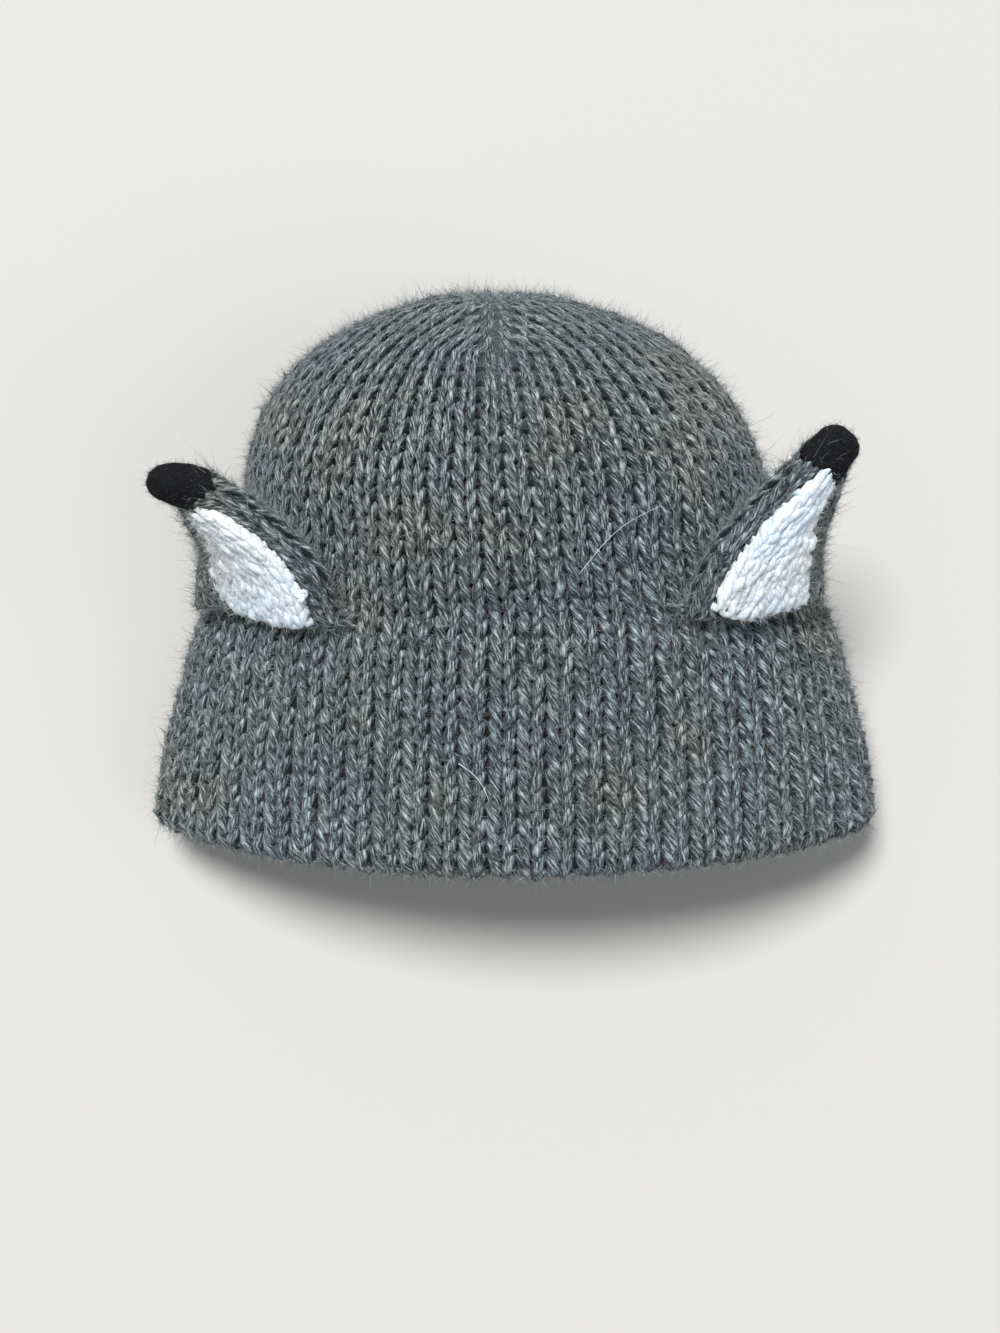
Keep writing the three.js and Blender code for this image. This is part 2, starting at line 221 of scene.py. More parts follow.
def wallPoint(place, turn, depth):
    # a point this deep in the wall; turn goes round from the middle of the front
    f = hatForm
    ring = ringAt(place)
    inset = depth + drawnIn(place, turn)
    sine, cosine = np.sin(turn), np.cos(turn)
    spokeY = np.where(cosine > 0, ring["frontY"], ring["backY"]) - ring["sideY"]
    spokeZ = np.where(cosine > 0, ring["frontZ"], ring["backZ"]) - ring["sideZ"]
    reach = np.abs(cosine) ** ring["fold"]
    deep = np.hypot(spokeY, spokeZ)
    shrink = reach * (1 - inset / np.maximum(deep, inset + 1e-9))
    flat = np.stack([
        ring["lean"] + sine * (ring["half"] - inset * ring["fold"]),
        ring["sideY"] + spokeY * shrink,
        ring["sideZ"] + spokeZ * shrink,
    ], -1)
    outer = np.stack([
        ring["lean"] + sine * ring["half"],
        ring["sideY"] + spokeY * reach,
        ring["sideZ"] + spokeZ * reach,
    ], -1)
    roundY = f["creaseY"] + f["crownLength"] - f["crownRound"]
    normal = unit(np.stack([
        (outer[..., 0] - ring["lean"]) / (f["crownWidth"] / 2) ** 2,
        np.maximum(outer[..., 1] - roundY, 0) / f["crownRound"] ** 2,
        (outer[..., 2] - f["crownHeight"] / 2) / (f["crownHeight"] / 2) ** 2,
    ], -1))
    dome = smoothStep(place, 0, f["domeStarts"])[..., None]
    point = mix(flat, outer - normal * inset[..., None], dome)
    point[..., 2] = flatten(point[..., 2], np.maximum(depth, 0))
    return point


# Knitting: how the rows of stitches lie on the hat, in mm unless a note says otherwise

knitting = {
    "columns": 7,          # stitches in each of the eight wedges
    "wedges": 8,
    "row": 3.5,            # height of a row
    "column": 5.9,         # width of a stitch that the yarn's thickness is meant for
    "yarn": 1.0,           # radius of the yarn
    "plump": 0.28,         # how much fuller it is at the legs of a stitch
    "thinner": 0.95,       # how strongly narrow stitches thin it
    "deep": 2.25,          # middle of the cloth under its outer face
    "stand": 1.0,          # how far the legs of a stitch stand out of the middle
    "tilt": 0.6,           # how far a leg's lower end comes forward of its upper end
    "reach": 1.0,          # half the height of a loop, in rows
    "bulge": 0.222,        # how wide a loop swings, in stitches
    "pull": 0.022,         # how far its legs are drawn together
    "ribs": (10, 16),      # rows over which the columns close up into ribs
    "ribbed": 0.07,        # how much further the legs are drawn together there
    "narrower": 0.4,       # and how much less the loops swing
    "uneven": 0.06,        # hand-knitted unevenness, in stitches and rows
    "mirrored": 0,         # every second wedge from this one loses its stitches at its start
    "takenUp": 2,          # stitches over which a lost one is taken up
    "scales": (0.4, 1.1),  # the thinnest and thickest that the yarn gets
    "flat": 0.94,          # how flat the yarn lies
    "crownRows": 24,       # rounds from the crease to the drawn-up end
    "lengths": 400,        # how far along the yarn a round may start, in mm
}

# how a leg's unevenness shows: aside in stitches, along in rows, its thickness, and out in mm
hand = {"aside": 0.5, "along": 0.6, "thick": 1.2, "out": 2.2}

# stitches left in a wedge, from the crown's row given in the first column
crownCounts = table("row count", [
    (0, 7), (16, 7), (17, 6), (18, 5), (19, 4), (20, 3), (21, 2), (22, 1), (24, 1),
])

# the groove down the middle of the crown's front, where stitches were taken in from both sides
groove = {"deep": 1.1, "wide": 2.4, "starts": (0.4, 0.58), "ends": (0.85, 0.95)}

# the rounded fold at the hem, from the share of the brim where it starts
brimFold = {
    "radius": hatForm["brimWall"] / 2,
    "start": 1 - hatForm["brimWall"] / 2 / hatForm["brimLength"],
}


def clothPath():
    # the way of the cloth along the front, from the crown's end over the hem and back inside
    deep = knitting["deep"]
    brim = np.linspace(0, brimFold["start"], 60)
    crown = np.linspace(0, 1, 120)

    def lengths(places):
        points = wallPoint(places, 0 * places, deep + 0 * places)
        return np.r_[0, np.cumsum(np.linalg.norm(np.diff(points, axis=0), axis=1))]

    up = lengths(crown)
    down = lengths(-brim)
    bends = np.linspace(0, math.pi, 24)
    roundHem = bends * (brimFold["radius"] - deep)
    inside = down[-1] + roundHem[-1] + (down[-1] - down[::-1])
    along = np.r_[-inside[::-1], -(down[-1] + roundHem[1:-1])[::-1], -down[::-1], up[1:]]
    hem = np.full(len(bends) - 2, -brimFold["start"])
    place = np.r_[-brim, hem, -brim[::-1], crown[1:]]
    bend = np.r_[np.full(len(brim), math.pi), bends[1:-1][::-1], np.zeros(len(brim) + len(crown) - 1)]
    return {"along": along, "place": place, "bend": bend, "hem": down[-1]}


path = clothPath()


def spreadRounds(count=100, steps=360, shares=256):
    # the turn at each equal share of a round's length, so that stitches are evenly wide
    turns = np.linspace(0, 2 * math.pi, steps + 1)
    spread = []
    for place in np.linspace(-1, 1, count):
        points = wallPoint(np.full(steps + 1, place), turns, np.full(steps + 1, knitting["deep"]))
        run = np.r_[0, np.cumsum(np.linalg.norm(np.diff(points, axis=0), axis=1))]
        spread.append(np.interp(np.linspace(0, 1, shares + 1), run / run[-1], turns))
    return np.array(spread)


roundTurns = spreadRounds()


def turnAt(place, share):
    # the turn at a share of the round there, between the nearest rounds and shares worked out above
    a = (np.clip(place, -1, 1) + 1) / 2 * (len(roundTurns) - 1)
    b = (share % 1) * (roundTurns.shape[1] - 1)
    i = np.minimum(a.astype(int), len(roundTurns) - 2)
    j = np.minimum(b.astype(int), roundTurns.shape[1] - 2)
    s, t = a - i, b - j
    near = mix(roundTurns[i, j], roundTurns[i, j + 1], t)
    far = mix(roundTurns[i + 1, j], roundTurns[i + 1, j + 1], t)
    return mix(near, far, s)


def hatCloth(along, wedge, share, deep):
    # a point of the cloth: along it in mm from the crease, and round it in a wedge
    place = np.interp(along, path["along"], path["place"])
    bend = np.interp(along, path["along"], path["bend"])
    turn = turnAt(place, (wedge + share) / knitting["wedges"])
    radius = brimFold["radius"]
    depth = np.where(place <= 0, radius - (radius - deep) * np.cos(bend), deep)
    aside = np.sin(turn) * ringAt(np.clip(place, 0, 1))["half"] / groove["wide"]
    sunk = groove["deep"] * np.exp(-aside ** 2) * smoothStep(place, *groove["starts"])
    endsFrom, endsAt = groove["ends"]
    depth = depth + sunk * smoothStep(-place, -endsAt, -endsFrom) * (np.cos(turn) > 0)
    near = wallPoint(place, turn, depth)
    far = wallPoint(np.full_like(place, -1.0), turn, depth)
    return mix(near, far, (np.sin(bend) * (1 - deep / radius))[..., None])


def clothFrame(cloth, along, wedge, share, deep):
    # a point, the direction out of the cloth there, and how wide the wedge is
    stepAlong, stepShare, stepOut = 0.3, 0.004, 0.6
    point = cloth(along, wedge, share, deep)
    alongWay = cloth(along + stepAlong, wedge, share, deep) - cloth(along - stepAlong, wedge, share, deep)
    roundWay = cloth(along, wedge, share + stepShare, deep) - cloth(along, wedge, share - stepShare, deep)
    out = unit(np.cross(roundWay, alongWay))
    outward = cloth(along, wedge, share, deep - stepOut) - point
    out = out * np.where((out * outward).sum(-1, keepdims=True) < 0, -1, 1)
    return point, out, np.linalg.norm(roundWay, axis=-1) / (2 * stepShare)


def yarnTube(centre, out, radius, sides, closed, uvStart=0.0):
    # a tube of yarn along its middle line; its seam faces into the cloth
    count = len(centre)
    flat = knitting["flat"]
    if closed:
        heading = unit(np.roll(centre, -1, 0) - np.roll(centre, 1, 0))
    else:
        heading = unit(np.gradient(centre, axis=0))
    side = unit(np.cross(heading, out))
    up = np.cross(side, heading)
    angle = 2 * math.pi * np.arange(sides) / sides - math.pi / 2
    wide = np.cos(angle)[None, :, None] * side[:, None] / flat
    high = np.sin(angle)[None, :, None] * up[:, None] * flat
    points = (centre[:, None] + radius[:, None, None] * (wide + high)).reshape(-1, 3)
    steps = np.linalg.norm(np.roll(centre, -1, 0) - centre, axis=1)
    run = uvStart + np.r_[0, np.cumsum(steps)]
    i = np.arange(count if closed else count - 1)[:, None]
    q = np.arange(sides)[None, :]
    j, r = (i + 1) % count, (q + 1) % sides
    i, q, j, r = np.broadcast_arrays(i, q, j, r)
    quads = np.stack([i * sides + q, j * sides + q, j * sides + r, i * sides + r], -1).reshape(-1, 4)
    u = np.stack([q, q, q + 1, q + 1], -1) / sides
    v = np.stack([run[i], run[i + 1], run[i + 1], run[i]], -1)
    uv = np.stack([u, v], -1).reshape(-1, 4, 2)
    tube = {"points": points, "quads": quads, "uv": uv, "centre": centre, "heading": heading,
            "side": side, "up": up, "radius": radius, "out": out}
    if not closed:
        ends = np.array([centre[0], centre[-1]])
        first, last = len(points), len(points) + 1
        ring = np.arange(sides)
        nextRing = (ring + 1) % sides
        start = (count - 1) * sides
        tube["points"] = np.concatenate([points, ends])
        tube["triangles"] = np.concatenate([
            np.stack([np.full(sides, first), ring, nextRing], -1),
            np.stack([np.full(sides, last), start + nextRing, start + ring], -1),
        ])
    return tube


def knitRow(cloth, row, count, countAt, style, uvStart):
    # the yarn of one round of stitches, or of one row if the style is open
    stitches = count * style["wedges"]
    points = style["points"]
    closed = not style.get("open")
    step = np.arange(stitches * points + (0 if closed else 1))
    t = 2 * math.pi * step / points
    stitch = np.minimum(step // points, stitches - 1)
    loop = np.sin(t / 2) ** 2  # 1 at the head of each stitch
    leg = np.sin(t) ** 2  # 1 at its legs
    legIndex = (t / math.pi + 1e-6).astype(int) % (2 * stitches)
    heads = rng.normal(0, style["uneven"], (stitches, 2))
    legs = rng.normal(0, style["uneven"], (2 * stitches, 3))
    drawn = smoothStep(row, *style["ribs"])
    pull = style["pull"] + style["ribbed"] * drawn
    bulge = style["bulge"] * (1 - style["narrower"] * drawn)
    x = t / (2 * math.pi) + bulge * np.sin(2 * t) + pull * np.sin(t)
    x = x + loop * heads[stitch, 0] * hand["aside"] + leg * legs[legIndex, 0] * hand["aside"]
    r = row - style["reach"] * np.cos(t) + loop * heads[stitch, 1] + leg * legs[legIndex, 1] * hand["along"]
    wedge = stitch // count
    c = x - wedge * count
    back = wedge % 2 == style["mirrored"]  # these run the other way round
    c = np.where(back, count - c, c)
    here = countAt(r)
    ramp = min(style["takenUp"], count)
    eaten = np.clip((c - (count - ramp)) / ramp, 0, 1)  # the last stitches take up the decrease
    share = (c + (here - count) * eaten) / here
    share = np.where(back, 1 - share, share)
    place, out, width = clothFrame(cloth, r * style["row"], wedge, share, style["deep"])
    scale = np.clip(width / np.maximum(here, 0.5) / style["column"], *style["scales"]) ** style["thinner"]
    stand = (style["tilt"] * np.cos(t) - style["stand"] * np.cos(2 * t)) * scale
    radius = style["yarn"] * scale * (1 + style["plump"] * leg + leg * legs[legIndex, 2] * hand["thick"])
    centre = place + out * (stand + leg * legs[legIndex, 2] * hand["out"])[:, None]
    tube = yarnTube(centre, out, radius, style["sides"], closed, uvStart=uvStart)
    tube["stand"] = -np.cos(2 * t)
    return tube


def join(tubes):
    # several tubes as one body of points and faces
    joined = {"points": [], "quads": [], "uv": [], "triangles": [], "sunk": []}
    offset = 0
    for tube in tubes:
        joined["points"].append(tube["points"])
        joined["quads"].append(tube["quads"] + offset)
        joined["uv"].append(tube["uv"])
        around = len(tube["points"]) // len(tube["centre"])
        # how far each point dips behind other yarn, where the yarn's material paints shade
        sunk = np.repeat(0.5 - 0.5 * tube["stand"], around)
        joined["sunk"].append(np.r_[sunk, np.ones(len(tube["points"]) - len(sunk))])
        if "triangles" in tube:
            joined["triangles"].append(tube["triangles"] + offset)
        offset += len(tube["points"])
    result = {name: np.concatenate(value) for name, value in joined.items() if value}
    for name in ("centre", "heading", "side", "up", "radius", "out", "stand"):
        result[name] = np.concatenate([tube[name] for tube in tubes])
    return result


def makeMesh(name, body, finish):
    # a mesh object in metres from points, quads and triangles in millimetres
    mesh = bpy.data.meshes.new(name)
    points = body["points"]
    quads = body.get("quads", np.zeros((0, 4), int))
    triangles = body.get("triangles", np.zeros((0, 3), int))
    corners = np.concatenate([quads.ravel(), triangles.ravel()]).astype(np.int32)
    starts = np.concatenate([4 * np.arange(len(quads)), 4 * len(quads) + 3 * np.arange(len(triangles))])
    mesh.vertices.add(len(points))
    mesh.vertices.foreach_set("co", (points * mm).astype(np.float32).ravel())
    mesh.loops.add(len(corners))
    mesh.loops.foreach_set("vertex_index", corners)
    mesh.polygons.add(len(starts))
    mesh.polygons.foreach_set("loop_start", starts.astype(np.int32))
    mesh.update(calc_edges=True)
    mesh.polygons.foreach_set("use_smooth", np.ones(len(starts), bool))
    if "uv" in body:
        layer = mesh.uv_layers.new(name="yarn")
        uv = body["uv"].reshape(-1, 2)
        spare = np.zeros((len(corners) - len(uv), 2))
        layer.uv.foreach_set("vector", np.concatenate([uv, spare]).astype(np.float32).ravel())
    if "sunk" in body:
        sunk = mesh.attributes.new("sunk", "FLOAT", "POINT")
        sunk.data.foreach_set("value", body["sunk"].astype(np.float32))
    mesh.materials.append(finish)
    obj = bpy.data.objects.new(name, mesh)
    bpy.context.scene.collection.objects.link(obj)
    return obj


def loft(rounds, closedEnds):
    # closed body through rounds of equal count, ended in points or joined end to end
    steps, around = len(rounds), len(rounds[0])
    points = np.concatenate(rounds)
    i = np.arange(steps - 1 if closedEnds else steps)[:, None]
    q = np.arange(around)[None, :]
    j, r = (i + 1) % steps, (q + 1) % around
    i, q, j, r = np.broadcast_arrays(i, q, j, r)
    quads = np.stack([i * around + q, i * around + r, j * around + r, j * around + q], -1).reshape(-1, 4)
    body = {"points": points, "quads": quads}
    if closedEnds:
        ring = np.arange(around)
        nextRing = (ring + 1) % around
        last = (steps - 1) * around
        body["points"] = np.concatenate([points, [rounds[0].mean(0)], [rounds[-1].mean(0)]])
        body["triangles"] = np.concatenate([
            np.stack([nextRing, ring, np.full(around, len(points))], -1),
            np.stack([last + ring, last + nextRing, np.full(around, len(points) + 1)], -1),
        ])
    corner = body["points"][quads]
    area = np.cross(corner[:, 2] - corner[:, 0], corner[:, 3] - corner[:, 1])
    if (area * corner.mean(1)).sum() < 0:
        body["quads"] = quads[:, ::-1]
        if closedEnds:
            body["triangles"] = body["triangles"][:, ::-1]
    return body


def dress(obj, slot, *nodes):
    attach(obj, "root")
    if nodes:
        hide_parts(*nodes)
    return obj


# Finishes

# fuzzSheen is the sheen of the loose fibres; dark is the tone of the darkest fibres and also the colour of
# the painted shade; the value after fibre sets how strongly painted shade darkens the yarn's flanks and the
# parts behind other yarn; the rest is the yarn's own
finishes = {
    "greyYarn": {
        "pale": (0.47, 0.53, 0.53), "mid": (0.112, 0.136, 0.14), "dark": (0.009, 0.013, 0.015),
        "plies": 5.0, "twist": -0.26, "fibre": 3.8, "crevice": 1.0, "bump": 0.9, "sheen": 0.2,
        "fuzzSheen": 0.2,
    },
    "whiteYarn": {
        "pale": (0.98, 0.99, 0.99), "mid": (0.92, 0.95, 0.96), "dark": (0.6, 0.67, 0.71),
        "plies": 3.0, "twist": -0.22, "fibre": 3.0, "crevice": 0.24, "bump": 0.18, "sheen": 0.2,
        "fuzzSheen": 0.2,
    },
    "blackFelt": {
        "pale": (0.05, 0.053, 0.058), "mid": (0.014, 0.015, 0.017), "dark": (0.005, 0.005, 0.006),
        "fuzzSheen": 0.1,
    },
}

# surfaces of the yarn, of the felted mass behind it and of the loose fibres
wool = {
    "yarn": {"roughness": 0.9, "specular": 0.25, "sheenRoughness": 0.45},
    "felted": {"roughness": 1.0, "specular": 0.1, "grain": 900.0},
    "fuzz": {"roughness": 0.7, "shades": (0.25, 0.7)},
}

# the look of spun wool, for every yarn
spun = {
    "fibreAlong": 0.55,            # scale of the fibres along the yarn
    "patchAround": 0.6,            # scale of the paler and darker patches
    "patchAlong": 0.22,
    "fibreShare": 0.75,            # how much of the tone comes from the fibres
    "darkToMid": (0.4, 0.5),
    "midToPale": (0.5, 0.6),
    "plyShade": 0.45,              # how dark the painted shade between the plies is
    "driftScale": 38.0,            # size of the heathered areas
    "drift": (0.35, 0.65),
    "warm": (1.06, 1.0, 0.94, 1),
    "blue": (0.92, 1.0, 1.1, 1),
    "flank": (0.14, 0.43),         # where the yarn turns into shade
    "behind": (0.4, 0.9),          # and where it dips behind other yarn
    "plyHeight": 0.6,
    "fibreHeight": 0.7,
    "relief": 0.25,                # height of the relief in mm
}


def newGroup(name, inputs, outputs):
    group = bpy.data.node_groups.new(name, "ShaderNodeTree")
    for label, kind, value in inputs:
        socket = group.interface.new_socket(name=label, in_out="INPUT", socket_type=kind)
        if value is not None:
            socket.default_value = value
    for label, kind in outputs:
        group.interface.new_socket(name=label, in_out="OUTPUT", socket_type=kind)
    start = group.nodes.new("NodeGroupInput")
    end = group.nodes.new("NodeGroupOutput")
    return group, start, end


def mathNode(tree, operation, first, second=None, third=None):
    node = tree.nodes.new("ShaderNodeMath")
    node.operation = operation
    for socket, value in zip(node.inputs, (first, second, third)):
        if value is None:
            continue
        if isinstance(value, (int, float)):
            socket.default_value = value
        else:
            tree.links.new(value, socket)
    return node.outputs[0]


def mixColours(tree, amount, first, second, blend="MIX"):
    node = tree.nodes.new("ShaderNodeMix")
    node.data_type = "RGBA"
    node.blend_type = blend
    for name, value in (("Factor_Float", amount), ("A_Color", first), ("B_Color", second)):
        socket = next(s for s in node.inputs if s.identifier == name)
        if isinstance(value, (int, float, tuple)):
            socket.default_value = value
        else:
            tree.links.new(value, socket)
    return next(s for s in node.outputs if s.identifier == "Result_Color")


def noiseNode(tree, vector, scale, detail=2.0, roughness=0.5):
    node = tree.nodes.new("ShaderNodeTexNoise")
    node.inputs["Scale"].default_value = scale
    node.inputs["Detail"].default_value = detail
    node.inputs["Roughness"].default_value = roughness
    tree.links.new(vector, node.inputs["Vector"])
    return node.outputs["Fac"]


def rangeNode(tree, value, low, high):
    node = tree.nodes.new("ShaderNodeMapRange")
    node.inputs["From Min"].default_value = low
    node.inputs["From Max"].default_value = high
    tree.links.new(value, node.inputs["Value"])
    return node.outputs[0]


def spunYarnGroup():
    # spun wool: plies twisted round the yarn, fine fibres along them, heathered colour, and painted shade
    # between the plies, on the yarn's flanks and where it dips behind other yarn
    group, start, end = newGroup("spunYarn", [
        ("Yarn", "NodeSocketVector", None),
        ("Plies", "NodeSocketFloat", 6.0),
        ("Twist", "NodeSocketFloat", -0.3),
        ("Fibre", "NodeSocketFloat", 4.0),
        ("Pale", "NodeSocketColor", None),
        ("Mid", "NodeSocketColor", None),
        ("Dark", "NodeSocketColor", None),
        ("Crevice", "NodeSocketFloat", 0.8),
    ], [("Color", "NodeSocketColor"), ("Height", "NodeSocketFloat")])
    tree = group
    split = tree.nodes.new("ShaderNodeSeparateXYZ")
    tree.links.new(start.outputs["Yarn"], split.inputs[0])
    around = mathNode(tree, "MULTIPLY", split.outputs[0], start.outputs["Plies"])
    ply = mathNode(tree, "ADD", around, mathNode(tree, "MULTIPLY", split.outputs[1], start.outputs["Twist"]))
    wave = mathNode(tree, "ABSOLUTE", mathNode(tree, "SINE", mathNode(tree, "MULTIPLY", ply, math.pi)))
    lay = tree.nodes.new("ShaderNodeCombineXYZ")
    tree.links.new(mathNode(tree, "MULTIPLY", ply, start.outputs["Fibre"]), lay.inputs[0])
    tree.links.new(mathNode(tree, "MULTIPLY", split.outputs[1], spun["fibreAlong"]), lay.inputs[1])
    fibres = noiseNode(tree, lay.outputs[0], 1.0, 3.0, 0.6)
    patch = tree.nodes.new("ShaderNodeCombineXYZ")
    tree.links.new(mathNode(tree, "MULTIPLY", ply, spun["patchAround"]), patch.inputs[0])
    tree.links.new(mathNode(tree, "MULTIPLY", split.outputs[1], spun["patchAlong"]), patch.inputs[1])
    patches = noiseNode(tree, patch.outputs[0], 1.0, 2.0, 0.5)
    fine = mathNode(tree, "MULTIPLY", fibres, spun["fibreShare"])
    tone = mathNode(tree, "ADD", fine, mathNode(tree, "MULTIPLY", patches, 1 - spun["fibreShare"]))
    toMid, toPale = rangeNode(tree, tone, *spun["darkToMid"]), rangeNode(tree, tone, *spun["midToPale"])
    colour = mixColours(tree, toMid, start.outputs["Dark"], start.outputs["Mid"])
    colour = mixColours(tree, toPale, colour, start.outputs["Pale"])
    # painted shade in the grooves between the plies
    between = mathNode(tree, "MULTIPLY", mathNode(tree, "SUBTRACT", 1.0, wave), spun["plyShade"])
    colour = mixColours(tree, between, colour, start.outputs["Dark"])
    # heather: the wool drifts between a warm and a blue grey
    where = tree.nodes.new("ShaderNodeTexCoord")
    drift = noiseNode(tree, where.outputs["Object"], spun["driftScale"], 2.0)
    tint = mixColours(tree, rangeNode(tree, drift, *spun["drift"]), spun["warm"], spun["blue"])
    colour = mixColours(tree, 1.0, colour, tint, "MULTIPLY")
    # the yarn's flanks and the parts behind other yarn lie in shade
    offTop = mathNode(tree, "ABSOLUTE", mathNode(tree, "SUBTRACT", split.outputs[0], 0.5))
    flank = rangeNode(tree, mathNode(tree, "MULTIPLY", offTop, 2.0), *spun["flank"])
    sunk = tree.nodes.new("ShaderNodeAttribute")
    sunk.attribute_name = "sunk"
    behind = rangeNode(tree, sunk.outputs["Fac"], *spun["behind"])
    shade = mathNode(tree, "MULTIPLY", mathNode(tree, "MAXIMUM", flank, behind), start.outputs["Crevice"])
    # painted shade: mix towards the dark tone on the flanks and behind other yarn
    colour = mixColours(tree, shade, colour, start.outputs["Dark"])
    tree.links.new(colour, end.inputs["Color"])
    plies = mathNode(tree, "MULTIPLY", wave, spun["plyHeight"])
    height = mathNode(tree, "ADD", plies, mathNode(tree, "MULTIPLY", fibres, spun["fibreHeight"]))
    tree.links.new(height, end.inputs["Height"])
    return group


spunYarn = spunYarnGroup()


def newMaterial(name):
    material = bpy.data.materials.new(name)
    material.use_nodes = True
    tree = material.node_tree
    shader = next(node for node in tree.nodes if node.type == "BSDF_PRINCIPLED")
    return material, tree, shader


def yarnMaterial(name, finish):
    material, tree, shader = newMaterial(name)
    uv = tree.nodes.new("ShaderNodeUVMap")
    uv.uv_map = "yarn"
    group = tree.nodes.new("ShaderNodeGroup")
    group.node_tree = spunYarn
    tree.links.new(uv.outputs[0], group.inputs["Yarn"])
    for key in ("plies", "twist", "fibre", "crevice"):
        group.inputs[key.capitalize()].default_value = finish[key]
    for key in ("pale", "mid", "dark"):
        group.inputs[key.capitalize()].default_value = (*finish[key], 1)
    tree.links.new(group.outputs["Color"], shader.inputs["Base Color"])
    lumps = tree.nodes.new("ShaderNodeBump")
    lumps.inputs["Strength"].default_value = finish["bump"]
    lumps.inputs["Distance"].default_value = spun["relief"] * mm
    tree.links.new(group.outputs["Height"], lumps.inputs["Height"])
    tree.links.new(lumps.outputs[0], shader.inputs["Normal"])
    shader.inputs["Roughness"].default_value = wool["yarn"]["roughness"]
    shader.inputs["Specular IOR Level"].default_value = wool["yarn"]["specular"]
    shader.inputs["Sheen Weight"].default_value = finish["sheen"]
    shader.inputs["Sheen Roughness"].default_value = wool["yarn"]["sheenRoughness"]
    return material


def plainWool(name, finish):
    # the felted mass between the stitches: a random mottle of the dark and mid tones, darker than the yarn's
    # face as painted shade for the gaps; the black felt tips take it as their own colour
    material, tree, shader = newMaterial(name)
    where = tree.nodes.new("ShaderNodeTexCoord")
    mottle = noiseNode(tree, where.outputs["Object"], wool["felted"]["grain"], 3.0, 0.6)
    colour = mixColours(tree, mottle, (*finish["dark"], 1), (*finish["mid"], 1))
    tree.links.new(colour, shader.inputs["Base Color"])
    shader.inputs["Roughness"].default_value = wool["felted"]["roughness"]
    shader.inputs["Specular IOR Level"].default_value = wool["felted"]["specular"]
    return material


def hairMaterial(name, finish):
    # loose fibres, each with its own shade
    material, tree, shader = newMaterial(name)
    uv = tree.nodes.new("ShaderNodeUVMap")
    uv.uv_map = "yarn"
    shades = rangeNode(tree, noiseNode(tree, uv.outputs[0], 1.0, 0.0), *wool["fuzz"]["shades"])
    colour = mixColours(tree, shades, (*finish["dark"], 1), (*finish["pale"], 1))
    tree.links.new(colour, shader.inputs["Base Color"])
    shader.inputs["Roughness"].default_value = wool["fuzz"]["roughness"]
    shader.inputs["Sheen Weight"].default_value = finish["fuzzSheen"]
    return material


greyYarn = yarnMaterial("grey wool", finishes["greyYarn"])
# the masses inside the knitting take the darker tones as painted shade
greyShadedCore = plainWool("grey wool inside in painted shade", finishes["greyYarn"])
greyHair = hairMaterial("grey wool fuzz", finishes["greyYarn"])
whiteYarn = yarnMaterial("white wool", finishes["whiteYarn"])
whiteShadedCore = plainWool("white wool inside in painted shade", finishes["whiteYarn"])
whiteHair = hairMaterial("white wool fuzz", finishes["whiteYarn"])
blackFelt = plainWool("black felt", finishes["blackFelt"])
blackHair = hairMaterial("black felt fuzz", finishes["blackFelt"])
print("finishes made")


# Grey knitting of the hat

def countOnCrown(row):
    return np.interp(row, crownCounts["row"], crownCounts["count"])


def countOnBrim(row):
    return np.full_like(row, float(knitting["columns"]))


def knitRounds(cloth, rows, countAt, style):
    tubes = []
    for row in rows:
        count = int(round(float(countAt(np.array([float(row)]))[0])))
        tubes.append(knitRow(cloth, row, count, countAt, style, rng.uniform(0, style["lengths"])))
    return join(tubes)


rng = np.random.default_rng(11)  # the same unevenness each time
hemRow = -(path["hem"] + math.pi * (brimFold["radius"] - knitting["deep"])) / knitting["row"]
lastInside = int(path["along"][0] / knitting["row"]) + 1
crownStyle = {**knitting, "points": 12, "sides": 5}
brimStyle = {**knitting, "points": 12, "sides": 6}
insideStyle = {**knitting, "points": 8, "sides": 5}
crownBody = knitRounds(hatCloth, range(0, knitting["crownRows"]), countOnCrown, crownStyle)
brimBody = knitRounds(hatCloth, range(-1, int(hemRow) - 1, -1), countOnBrim, brimStyle)
insideBody = knitRounds(hatCloth, range(int(hemRow) - 1, lastInside - 1, -1), countOnBrim, insideStyle)
dress(makeMesh("crown_knit", crownBody, greyYarn), "grey_knit", "crown")
dress(makeMesh("brim_knit", brimBody, greyYarn), "grey_knit", "brim")
dress(makeMesh("brim_turned_in_knit", insideBody, greyYarn), "grey_knit")
print("hat knitted:", len(crownBody["quads"]), len(brimBody["quads"]), len(insideBody["quads"]), "faces")

# the felted mass behind the stitches: outer and inner are depths in mm, raised how much nearer to the
# face it comes under the ribs; the shares say where the layers start and end
core = {
    "outer": 2.7, "inner": 3.1, "raised": 0.7, "around": 96,
    "crease": 0.004, "crownOuterEnd": 0.985, "crownInnerEnd": 0.96, "ribs": (0.5, 0.8),
}


def hatRound(placeAt, depth):
    # a round of points at one place and depth of the wall
    turns = 2 * math.pi * np.arange(core["around"]) / core["around"]
    return wallPoint(np.full(len(turns), float(placeAt)), turns, np.full(len(turns), float(depth)))


def brimCore():
    # the wool between the two layers of the brim
    crease, start, innerDepth = core["crease"], brimFold["start"], hatForm["brimWall"] - core["outer"]
    outer = [hatRound(-share, core["outer"]) for share in np.linspace(crease, start, 26)]
    bends = []
    for angle in np.linspace(0, math.pi, 9)[1:-1]:
        radius = brimFold["radius"]
        depth = radius - (radius - core["outer"]) * math.cos(angle)
        near, far = hatRound(-start, depth), hatRound(-1, depth)
        bends.append(mix(near, far, math.sin(angle) * (1 - core["outer"] / radius)))
    inner = [hatRound(-share, innerDepth) for share in np.linspace(start, crease, 18)]
    return loft([*outer, *bends, *inner], False)


